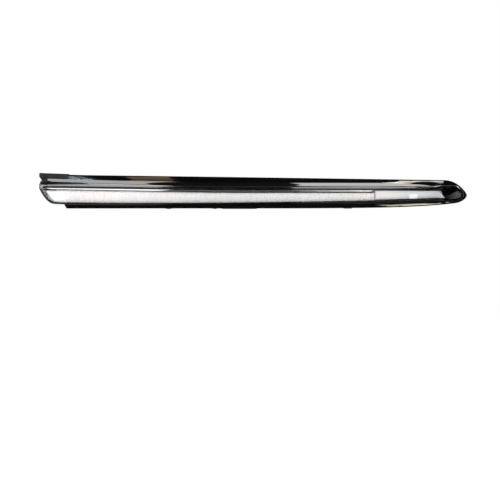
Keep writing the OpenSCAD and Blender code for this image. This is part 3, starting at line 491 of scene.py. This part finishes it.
def band_ring(o, c, j, dr, ds, dc, df):
    e, g, k, di = toward(c, o, WALL_S), toward(o, c, WALL_S), toward(j, o, WALL_S), SKIRT_D - 0.4
    q = [(o, dr)] + [(between(o, c, s * s), mix(ds, dc, s)) for s in FACE]
    return q + [(c, df), (j, df + 0.1), (j, di), (k, di), (k, df + WALL_S + 0.4), (e, df + WALL_S + 0.4),
                (g, ds + 1), (g, dr)]


def lap_ring(o, c, dr, ds):
    j, g, di = lap_at(o, c, 0), toward(o, c, WALL_S), SKIRT_D - 0.4
    q = [(o, dr)]
    q += [(between(o, c, s * s), mix(ds, D_EDGE, math.sin(math.pi / 2 * s) ** 1.2)) for s in FACE]
    return q + [(c, D_EDGE + 0.7), (j, D_EDGE + 1.8), (j, di), (g, di), (g, di + 0.4), (g, di + 0.8),
                (g, di + 1.4), (g, dr)]


def placed_ring(q):
    r = [0.35, 0.5] + [0.2] * 9 + [0.22, 0.2, 0.3] + [0.25] * 6
    return soften([pt(v[0], v[1], d) for v, d in q], r)


def top_ring(x):
    k, o, c = ring_k(x), (x, outline_top(x)), (x, crease_top(x))
    a = band_ring(o, c, (x, crease_top(x) - STRIP_W), TOP_FLANGE_D, 12, D_BAND, D_FLOOR)
    b = lap_ring(o, c, TOP_FLANGE_D, 9)
    return placed_ring([(between(u, v, k), mix(d, e, k)) for (u, d), (v, e) in zip(a, b)])


def nose_ring(a, side):
    t = a / 180 if side > 0 else 1 - a / 180
    return placed_ring(lap_ring(*nose_pair(a, side), mix(TOP_FLANGE_D, SILL_FLANGE_D, t), 9))


def sill_ring(x, lean):
    return placed_ring(lap_ring((x, outline_low(x)), (x - lean, crease_low(x)), SILL_FLANGE_D, 8))


def cap_ring(x, back, sink):
    t = clamp((X_L + CAP_CUT - x) / CAP_CUT)
    c = crease_top(x) + 1.8 * t
    high, low = outline_top(x) + CAP_PROUD - sink, c - mix(STRIP_W, 0.6, t)
    ring = band_ring((x, high), (x, c), (x, low), TOP_FLANGE_D - back, 12, D_BAND + sink, D_FLOOR)
    return placed_ring(ring)


NOSE = [90 * i / 26 for i in range(1, 27)]
X_CUT = X_L + SILL_START
rings = [top_ring(x) for x in steps(CAP_X1, X_N - RING_L - 2, 105) + steps(X_N - RING_L, X_N, 28)]
rings += [nose_ring(a, 1) for a in NOSE]
rings += [nose_ring(a, -1) for a in reversed(NOSE[:-1])]
rings += [sill_ring(x, 0) for x in steps(X_N, X_CUT + LEAN_L, 110)]
rings += [sill_ring(X_CUT + LEAN_L * (1 - t), SILL_LEAN * t) for t in (0.33, 0.66, 1.0)]
stand_for(loft("surround_shell", rings), "gloss_black", "surround")

xs = [X_L, X_L + 0.15, X_L + 0.5] + steps(X_L + 1, X_L + CAP_CUT, 8)
xs += steps(X_L + CAP_CUT + 0.8, CAP_X1 - 0.5, 18) + [CAP_X1 - 0.3, CAP_X1 - 0.15]
rings = []
for i, x in enumerate(xs):
    sink = 0.25 if i in (0, len(xs) - 1) else 0.0
    rings.append(cap_ring(x, 2 * clamp((X_L + 9 - x) / 9) ** 2, sink))
stand_for(loft("blunt_end_cap", rings), "matt_black", "end_cap")

# Chrome strip
def strip_in(x):
    t0, t1 = clamp((x - STRIP_X0) / 9), clamp((STRIP_X1 - x) / 40)
    return 0.5 * (1 - math.sqrt(1 - (1 - t0) ** 2)) + 0.42 * (1 - t1) ** 2


def strip_lo(x):
    a = crease_top(x)
    return max(seat_top(x), mix(a - SLACK, a - STRIP_W, 1 - 0.8 * strip_in(x)))


def strip_hi(x):
    return crease_top(x) - SLACK - 0.2 * strip_in(x)


xs = [STRIP_X0 + 9 * (i / 14) ** 1.5 for i in range(15)] + steps(STRIP_X0 + 11, STRIP_X1 - 30, 120)
xs += steps(STRIP_X1 - 29, STRIP_X1, 30)
rings = []
for x in xs:
    a, b, d1 = strip_hi(x), strip_lo(x), floor_d(x) - TAPE_T - 0.05
    # Past the opening wedge the strip comes down over the joint with the cover's plated border
    k = min(ease((x - JOIN_X0) / JOIN_L), ease((JOIN_X1 - x) / JOIN_L))
    b = mix(b, lens_top(x) - 0.75, k)
    prof = [(0, d1), (0, D_BAND + 0.1), (0.07, D_BAND - 0.45), (0.36, D_BAND - 0.62), (0.66, D_BAND - 0.55),
            (0.92, D_BAND - mix(0.3, 0.22, k)), (1, D_BAND + mix(0.3, 0.0, k)), (1, d1)]
    radii = [0.1, 0.2, 0.3, 0.6, 0.6, 0.3, 0.2, 0.1]
    rings.append(soften([pt(x, mix(a, b, t), d) for t, d in prof], radii, 4))
stand_for(loft("chrome_trim", rings), "chrome", "chrome_strip")


# Clear lens
def lens_path(x, w):
    a, b = inner_top(x, w), inner_low(x, w)
    h = max(0.4, a - b)
    e = min(0.9, 0.3 * h)
    s = w + lens_end(x - w)
    return [(b + h, SKIRT_D), (b + h, s + 2.4), (b + h - 0.3 * e, s + 1.5), (b + h - e, s + 0.85),
            (b + 0.75 * h, s + 0.45), (b + 0.5 * h, s + 0.35), (b + 0.25 * h, s + 0.45), (b + e, s + 0.85),
            (b + 0.3 * e, s + 1.5), (b, s + 2.4), (b, SKIRT_D)]


def lens_ring(x, hollow):
    o = soften([pt(x, z, d) for z, d in lens_path(x, 0)], 0.5, 3, False)
    i = [(z, mix(SKIRT_D, d, hollow)) for z, d in lens_path(x, WALL_L)]
    i = soften([pt(x, z, d) for z, d in i], 0.4, 3, False)
    return o + i[::-1]


OPEN_X0, OPEN_X1 = X_L + WALL_L + 0.1, LENS_X1 - 1.6 * WALL_L
xs = [OPEN_X0 + 16 * (i / 20) ** 1.5 for i in range(21)] + steps(OPEN_X0 + 18, X_N - RING_L - 2, 105)
xs += steps(X_N - RING_L, X_N, 26)
xs += [X_N + (OPEN_X1 - X_N) * math.sin(math.radians(4.5 * i)) for i in range(1, 21)]
rings = [lens_ring(X_L + t * WALL_L, 0.12) for t in (0, 0.05, 0.15, 0.4, 0.7, 1)]
rings += [lens_ring(x, 1) for x in xs]
rings += [lens_ring(mix(OPEN_X1, LENS_X1, t), 0.12) for t in (0.05, 0.3, 0.6, 0.85, 0.95, 1)]
stand_for(loft("clear_cover", rings, 50), "clear", "outer_lens")


# Plated border on the cover's upper edge, which runs down at the blunt end
def border_ring(x):
    q = lens_path(x, 0)[:4]
    low = mix(groove_top(x), lens_low(x) + 0.5, clamp((X_L + 5 - x) / 5) ** 1.5)
    low = min(low, q[3][0] - 0.15)
    h = lens_top(x) - lens_low(x)
    slope = 0.4 / max(0.5, 0.25 * h)
    q.append((low, max(q[3][1] - slope * (q[3][0] - low), q[3][1] - 0.4)))
    out = soften([pt(x, z + 0.04, d - 0.05) for z, d in q], 0.5, 3, False)
    back = soften([pt(x, z - 0.02, d + 0.02) for z, d in q], 0.5, 3, False)
    return out + back[::-1]


xs = [X_L + 0.02, X_L + 0.3] + [X_L + 0.6 + 16 * (i / 24) ** 1.4 for i in range(25)]
xs += steps(X_L + END_FINE, X_N - 24, 100)
stand_for(loft("cover_border", [border_ring(x) for x in xs], 50), "chrome")


# Bezel band with its groove and lip
def bezel_levels(x):
    """Heights of the band's foot, top, groove and lip, its set-back at the blunt end and its fullness."""
    foot = inner_low(x, BEZEL_GAP)
    top = max(inner_top(x, BEZEL_GAP), foot + 0.9)
    groove = max(min(groove_top(x), top - 0.5), foot + 0.5)
    lip = max(min(groove_low(x), groove - 0.15), foot + 0.3)
    return foot, top, groove, lip, lens_end(x - BEZEL_GAP), clamp((top - groove) / 1.4)


def bezel_ring(x):
    foot, a, g, l, s, r = bezel_levels(x)
    b = max(l - mix(LIP_W, 0.5, ease((x - JOINT_X + 3) / 3)), foot)
    q = [(a, D_FOOT), (a, min(D_FOOT - 0.3, D_BEZEL + 1.4 + s)),
         (mix(g, a, 0.65), min(D_FOOT - 0.5, D_BEZEL + mix(1.3, 0.5, r) + s)),
         (mix(g, a, 0.25), min(D_FOOT - 0.6, D_BEZEL + mix(1.1, 0.1, r) + s)),
         (g, min(D_FOOT - 0.6, D_BEZEL + mix(1.2, 0.3, r) + s)),
         (g - 0.1, min(D_FOOT - 0.4, D_BEZEL + 2 + s)), (l + 0.05, min(D_FOOT - 0.4, D_BEZEL + 2 + s)),
         (l, min(D_FOOT - 0.5, D_BEZEL + 0.9 + s)), (l - 0.15, min(D_FOOT - 0.5, D_BEZEL + 0.8 + s)),
         (b, min(D_FOOT - 0.3, D_BEZEL + 1.9 + s)), (b, D_FOOT)]
    radii = [0.1, 0.4, 0.4, 0.3, 0.25, 0.15, 0.15, 0.15, 0.15, 0.25, 0.1]
    return soften([pt(x, z, d) for z, d in q], radii)


def groove_ring(x):
    """Painted shade: a dark lining set in the shadowed groove, just in front of the band."""
    foot, a, g, l, s, r = bezel_levels(x)
    front = min(D_FOOT - 0.6, D_BEZEL + mix(1.3, 0.5, r) + s)
    back = min(D_FOOT - 0.45, D_BEZEL + 1.9 + s)
    low = min(D_FOOT - 0.5, D_BEZEL + 1.1 + s)
    q = [pt(x, g - 0.06, front), pt(x, g - 0.16, max(back, front + 0.05)),
         pt(x, l + 0.11, max(back, low + 0.05)), pt(x, l + 0.06, low)]
    up, down = Vector((0, 0.05, 0.05)), Vector((0, 0.05, -0.05))
    return q + [q[3] + down, q[2] + down, q[1] + up, q[0] + up]


xs = [X_L + BEZEL_GAP + 14 * (i / 16) ** 1.5 for i in range(17)] + steps(X_L + END_FINE, JOINT_X - 3, 120)
xs += [JOINT_X - 2.5, JOINT_X - 2, JOINT_X - 1.5, JOINT_X - 1, JOINT_X - 0.5, JOINT_X, JOINT_X + 1]
tail_xs = [JOINT_X + 1] + steps(JOINT_X + 4, X_N - 3, 30)
stand_for(loft("bezel_band", [bezel_ring(x) for x in xs]), "chrome", "bezel")
stand_for(loft("bezel_tail", [bezel_ring(x) for x in tail_xs]), "chrome", look="rubber")
# The groove's dark lining is painted shade.
stand_for(loft("groove_shade_lining", [groove_ring(x) for x in xs[2:]]), "black_plastic", look="rubber")


# Fine line under the lip: a painted shadow, black further on and painted light toward the blunt end
rings = []
for x in steps(X_L + END_FINE, JOINT_X - 2, 120):
    z, d = win_top(x), D_BEZEL + 1.9 + lens_end(x - BEZEL_GAP)
    corners = ((0.24, -0.2), (-0.02, -0.02), (-0.02, 0.6), (0.24, 0.6))
    rings.append([pt(x, z + up, d + back) for up, back in corners])
stand_for(loft("lip_shadow_strip", rings), "black_plastic", look="lip_shadow_paint")

# Foam in the joint between cover and surround, so no daylight shows through it
rings = []
for x in steps(X_L + 60, X_N - 10, 80):
    a, b = seat_top(x) + 0.05, lens_top(x) - 0.05
    rings.append([pt(x, a, FOAM_D0), pt(x, b, FOAM_D0), pt(x, b, FOAM_D1), pt(x, a, FOAM_D1)])
stand_for(loft("joint_foam", rings), "rubber")

# Plated wrap from the bezel down round the blunt end of the window
rings = []
for i in range(41):
    t = i / 40
    xw = BAR_X0 + (WIN_END + 6) * t**1.4
    zw = win_floor(xw) - 0.05
    xo = mix(X_L + BEZEL_GAP + 0.4, xw + 0.6, ease(t) if t < 1 else 1)
    zo = inner_low(xo, BEZEL_GAP)
    s = lens_end(xo - WALL_L)
    q = [(xo, zo, D_FOOT), (xo, zo, min(6.6, 4.6 + s)),
         (mix(xo, xw, 0.25), mix(zo, zw, 0.25), min(6.3, 3.9 + s)),
         (mix(xo, xw, 0.6), mix(zo, zw, 0.6), min(6.5, 4.6 + s * 0.5)),
         (xw, zw, D_BAR + 1.2), (xw, zw, D_FOOT)]
    rings.append(soften([pt(*v) for v in q], [0.1, 0.4, 0.5, 0.4, 0.3, 0.1]))
stand_for(loft("bezel_wrap", rings), "chrome")

# Fluted light bar
FLUTE_X0 = BAR_X0 + 14
FLUTES = math.floor((JOINT_X - 2 - FLUTE_X0) / FLUTE_P)


def flute(x):
    u = (x - FLUTE_X0) / FLUTE_P
    if u < 0 or u > FLUTES:
        return FLUTE_D
    return FLUTE_D * (2 * (u - math.floor(u)) - 1) ** 2


xs = [BAR_X0 + 0.15 + 13.5 * (i / 24) ** 1.4 for i in range(25)]
xs += [FLUTE_X0 + FLUTE_P * i / 8 for i in range(8 * FLUTES + 1)] + [JOINT_X - 0.4]
rings = []
for x in xs:
    a, b, f = win_top(x) - 0.12, win_floor(x) + 0.12, D_BAR + flute(x)
    e = min(0.25, 0.2 * (a - b))
    q = [pt(x, a, D_BAR + BAR_T), pt(x, a, f + 0.25), pt(x, a - e, f)]
    q += [pt(x, mix(a - e, b + e, t), f) for t in (0.25, 0.5, 0.75)]
    q += [pt(x, b + e, f), pt(x, b, f + 0.25), pt(x, b, D_BAR + BAR_T)]
    rings.append(q)
stand_for(loft("fluted_bar", rings, 60), "opal_white", "light_bar")

# Tip optic with its slanted end and square insert
rings = []
for i in range(161):
    t = i / 160
    xb, xt = mix(JOINT_X + 0.6, WIN_X1 - 0.2, t), mix(JOINT_X + 0.6, WIN_X1 - WIN_LEAN - 0.2, t)
    b = max(win_floor(xb), inner_low(xb, BEZEL_GAP) + 0.4) + 0.2
    a = groove_low(xt) - 0.15 - 0.55 * t
    f = D_BAR + 0.2 + 0.12 * (1 + math.cos(2 * math.pi * xb / 2.2)) / 2
    rings.append([pt(xt, a, D_BAR + BAR_T), pt(xt, a, f + 0.2), pt(mix(xt, xb, 0.04), mix(a, b, 0.04), f),
                  pt(mix(xt, xb, 0.5), mix(a, b, 0.5), f), pt(mix(xt, xb, 0.96), mix(a, b, 0.96), f),
                  pt(xb, b, f + 0.2), pt(xb, b, D_BAR + BAR_T)])
stand_for(loft("end_guide", rings, 60), "opal_white", "tip_optic", look="optic")
rings = []
for i in range(17):
    x = X_N - 34.4 + OPTIC_W * i / 16
    rise = 0.5 * math.sin(math.pi * i / 16) ** 0.5
    low = max(0.5 - OPTIC_W * 0.35, win_floor(x) + 0.2, inner_low(x, BEZEL_GAP) + 0.6)
    zs = [mix(low, 0.5 + OPTIC_W * 0.35, t) for t in (1, 0.98, 0.8, 0.6, 0.4, 0.2, 0.02, 0)]
    q = [pt(x, z, D_BAR - 0.1 - rise * (0.3 if k in (0, 7) else 1)) for k, z in enumerate(zs)]
    rings.append([pt(x, zs[0], D_BAR + 1)] + q + [pt(x, zs[-1], D_BAR + 1)])
stand_for(loft("square_optic", rings), "opal_white", look="optic_square")


# Black plate in the nose with its sloped lower flank
def plate_levels(x, lean):
    """Heights of the plate's foot and top. It leans at the end of the window."""
    w = BEZEL_GAP + 0.1
    foot = inner_low(x, w)
    return foot, max(foot + 0.5, min(inner_top(x, w), inner_top(x - lean, w)))


def mask_ring(x, lean=0.0):
    b, a = plate_levels(x, lean)
    f = mix(b, max(a, b + 0.6), 0.48)
    q = [(a, D_FOOT), (a, D_BAR + 0.6), (f, D_BAR + 0.6), (b, D_BEZEL + 1.2), (b, D_FOOT)]
    q = [pt(x - lean * (z - b) / max(0.5, a - b), max(z, b), d) for z, d in q]
    return soften(q, [0.2, 0.4, 0.6, 0.4, 0.2])


xs = steps(X_N + 4, X_C0 + 4, 24)
xs += [mix(X_C0 + 4, MASK_X1, math.sin(math.radians(4.5 * i))) for i in range(1, 21)]
rings = [mask_ring(WIN_X1 + 0.6, WIN_LEAN)] + [mask_ring(x) for x in xs]
stand_for(loft("nose_plate", rings), "gloss_black", "tip_mask")


def flank_ring(x, lean=0.0):
    """A grey crescent on the lower flank, taller toward the point of the nose: a painted sheen, brighter
    toward the point.
    """
    b, a = plate_levels(x, lean)
    top = mix(0.3, 0.8, ease((x - X_N - 3) / 14))

    def spot(u, lift=0.0):
        depth = mix(D_BEZEL + 1.1, D_BAR + 0.5, clamp(u / 0.48))
        return (mix(b, a, u), depth + lift)

    q = [spot(top), spot(min(top, 0.46)), spot(0.04), spot(0.04, 0.4), spot(top, 0.4)]
    return [pt(x - lean * (z - b) / max(0.5, a - b), z, d) for z, d in q]


rings = [flank_ring(WIN_X1 + 0.8, WIN_LEAN)] + [flank_ring(x) for x in xs if x < MASK_X1 - 0.3]
stand_for(loft("nose_flank_sheen", rings, 60), "gloss_black", look="flank_sheen_paint")

# Black rim behind the clear edge of the nose
rings = []
for side, angles in ((1, range(8, 91, 2)), (-1, range(88, 7, -2))):
    for a in angles:
        o, c = nose_pair(a, side)
        p, m, q = (lap_at(o, c, LENS_SLACK + w) for w in (0.1, 1.9, 3.6))
        rings.append([pt(*p, 3.3), pt(*m, 5.2), pt(*q, 6.05), pt(*q, 6.5), pt(*m, 5.7), pt(*p, 3.7)])
stand_for(loft("nose_rim", rings, 60), "black_plastic", look="rubber")

# Thin grey bead on the crease, from the point of the strip round the nose: its grey stands for the crease's
# highlight, a painted highlight
path = [(x, crease_top(x)) for x in steps(X_N - 9, X_N - 1, 12)]
path += [nose_pair(2.5 * i, 1)[1] for i in range(37)]
path += [nose_pair(90 - 2.5 * i, -1)[1] for i in range(1, 16)]
path = [pt(x, z, D_EDGE - 0.02) for x, z in path]
rings = []
for i, p in enumerate(path):
    t = (path[min(i + 1, len(path) - 1)] - path[max(i - 1, 0)]).normalized()
    side = t.cross(Vector((0, 1, 0))).normalized()
    r = 0.17 * min(1, 0.3 + i / 10, 0.1 + (len(path) - 1 - i) / 12)
    rings.append([p + r * (math.cos(k * math.pi / 4) * side + math.sin(k * math.pi / 4) * Vector((0, 1, 0)))
                  for k in range(8)])
stand_for(loft("crease_highlight_bead", rings, 80), "chrome", look="satin_grey")

# Edges of the moulded and cast parts catch the light
for name, width in (("housing", 0.3), ("rear_cover", 0.25), ("connector_shell", 0.2), ("vent_cap", 0.25)):
    ob = frame["nodes"][name]
    bv = ob.modifiers.new("edge", "BEVEL")
    bv.width = width * 0.001
    bv.segments = 2
    bv.limit_method = "ANGLE"
    bv.angle_limit = math.radians(50)
    bv.harden_normals = False
for name, ob in frame["nodes"].items():
    ob.data.polygons.foreach_set("use_smooth", [True] * len(ob.data.polygons))
    ob.data.set_sharp_from_angle(angle=math.radians(32))


# Studio: pale floor, soft light, and cards that only mirrors and gloss see. Sizes in metres
def plane(name, corners, material, **rays):
    me = bpy.data.meshes.new(name)
    me.from_pydata([Vector(c) for c in corners], [], [tuple(range(len(corners)))])
    ob = bpy.data.objects.new(name, me)
    scene.collection.objects.link(ob)
    me.materials.append(material)
    for k, val in rays.items():
        setattr(ob, "visible_" + k, val)


def emitter(name, colour, strength):
    m, nt, b = new_material(name)
    b.inputs["Base Color"].default_value = (0, 0, 0, 1)
    b.inputs["Specular IOR Level"].default_value = 0.0
    b.inputs["Emission Color"].default_value = (*colour, 1)
    b.inputs["Emission Strength"].default_value = strength
    return m


def card(name, corners, colour, strength):
    plane(name, corners, emitter(name, colour, strength), camera=False, diffuse=False, shadow=False,
          transmission=False)


floor = surface("studio_floor", (0.86, 0.86, 0.86), (0.9, 0.9, 0.9), (0.6, 0.7), mottle=2, relief=0)
shader = floor.node_tree.nodes["Principled BSDF"]
shader.inputs["Emission Color"].default_value = (1, 1, 1, 1)
shader.inputs["Emission Strength"].default_value = 0.35
plane("floor", [(-9, -12, -0.2), (9, -12, -0.2), (9, 9, -0.2), (-9, 9, -0.2)], floor, glossy=False)

# Cards in front of the lamp, from their inner edges outward. The strip mirrors them, with the dark between.
CARD_D = 1.2
LEFT_X, RIGHT_X = -0.32612, 0.1604
left = [(LEFT_X + e, z) for z, e in ((-0.6, -0.07), (-0.1, -0.05), (0.1, -0.03), (0.4, 0.02), (1.0, 0.08))]
right = [(RIGHT_X - e, z) for z, e in ((-0.6, 0.0), (0.1, 0.0), (0.3, 0.02), (0.6, 0.03))]
left += [(-1.05, 1.0), (-1.05, -0.6)]
right += [(0.45, 0.6), (0.64, 0.3), (0.64, -0.3), (0.45, -0.6)]
card("card_left", [(x, -CARD_D, z) for x, z in left], (1.0, 1.0, 0.985), 0.48)
card("card_right", [(x, -CARD_D, z) for x, z in right], (0.985, 0.99, 1.0), 0.62)
card("card_side", [(-1.1, y, z) for y, z in ((-1.1, -0.5), (-0.05, -0.5), (-0.05, 0.5), (-1.1, 0.5))],
     (0.97, 0.98, 1.0), 0.5)
card("card_back", [(x, y, -0.19) for x, y in ((-1.2, 0.8), (1.2, 0.8), (1.2, 3.0), (-1.2, 3.0))],
     (1.0, 1.0, 1.0), 0.45)

# Level cards 0.3 m above and below the lamp: the lip mirrors the white ones, black gloss the tinted ones
WHITE, BEIGE, STRAW = (1.0, 1.0, 1.0), (1.0, 0.9, 0.76), (1.0, 0.92, 0.68)
BROWN, BLUE = (0.95, 0.6, 0.38), (0.8, 0.9, 1.0)
LIP_Y, SILL_Y = (-0.44, -0.27), (-0.04, 0.24)
for name, (x0, x1), (y0, y1), z, colour, strength in (
    ("card_low_left", (-0.7, -0.16), LIP_Y, -0.3, WHITE, 1.7),
    ("card_low_mid", (-0.15, 0.085), LIP_Y, -0.3, WHITE, 0.07),
    ("card_low_right_0", (0.085, 0.11), LIP_Y, -0.3, WHITE, 0.25),
    ("card_low_right_1", (0.11, 0.14), LIP_Y, -0.3, WHITE, 0.5),
    ("card_low_right_2", (0.14, 0.18), LIP_Y, -0.3, WHITE, 0.8),
    ("card_low_right_3", (0.18, 0.6), LIP_Y, -0.3, WHITE, 1.2),
    ("glint_top", (0.178, 0.207), (-0.09, 0.3), 0.3, BEIGE, 6.0),
    ("glint_low_a", (0.170, 0.1865), SILL_Y, -0.3, STRAW, 7.5),
    ("glint_low_b", (0.1905, 0.237), SILL_Y, -0.3, STRAW, 9.5),
    ("glint_brown", (-0.145, -0.095), (-0.06, 0.24), 0.3, BROWN, 1.4),
    ("glint_blue_0", (-0.219, -0.212), (0.02, 0.12), 0.3, BLUE, 5.5),
    ("glint_blue_1", (-0.209, -0.205), (0.0, 0.2), 0.3, BLUE, 5.5),
    ("glint_blue_2", (-0.202, -0.192), (0.03, 0.09), 0.3, BLUE, 5.5),
    ("glint_blue_3", (-0.199, -0.197), (0.09, 0.24), 0.3, BLUE, 5.5),
):
    card(name, [(x0, y0, z), (x1, y0, z), (x1, y1, z), (x0, y1, z)], colour, strength)


def soft_light(name, loc, size, power):
    """Area light aimed at the lamp. Gloss and chrome don't see it: they mirror the cards only."""
    data = bpy.data.lights.new(name, "AREA")
    data.shape = "RECTANGLE"
    data.size, data.size_y = size
    data.energy = power
    ob = bpy.data.objects.new(name, data)
    scene.collection.objects.link(ob)
    ob.location = loc
    ob.rotation_euler = (Vector((0, 0, 0)) - Vector(loc)).to_track_quat("-Z", "Y").to_euler()
    ob.visible_camera = False
    ob.visible_glossy = False


soft_light("key", (-0.5, -1.1, 1.3), (0.9, 0.6), 9)
soft_light("back_left", (-1.1, 0.9, 0.7), (0.7, 0.7), 32)
soft_light("back_right", (1.1, 0.9, 0.7), (0.7, 0.7), 32)

# White surroundings, which gloss and chrome see as nearly black
world = bpy.data.worlds.new("studio")
scene.world = world
world.use_nodes = True
nt = world.node_tree
bg = nt.nodes["Background"]
lp = nt.nodes.new("ShaderNodeLightPath")
mx = nt.nodes.new("ShaderNodeMix")
mx.data_type = "RGBA"
mx.inputs["A"].default_value = (1, 1, 1, 1)
mx.inputs["B"].default_value = (0.007, 0.007, 0.0075, 1)
nt.links.new(lp.outputs["Is Glossy Ray"], mx.inputs["Factor"])
nt.links.new(mx.outputs["Result"], bg.inputs["Color"])
bg.inputs["Strength"].default_value = 1.0

# Camera straight in front, far away, framed as in the photograph
cam_data = bpy.data.cameras.new("camera")
cam = bpy.data.objects.new("camera", cam_data)
scene.collection.objects.link(cam)
CAM_D, SENSOR_W = 8.0, 36
LAMP_D, FRAME_W = 0.045, 0.5013  # depth of the lamp's face and the width seen there
cam.location = (-0.0032, -CAM_D, -0.0552)
cam.rotation_euler = (math.radians(90), 0, 0)
cam_data.sensor_width = SENSOR_W
cam_data.lens = SENSOR_W * (CAM_D - LAMP_D) / FRAME_W
cam_data.clip_start, cam_data.clip_end = 0.1, 60
scene.camera = cam
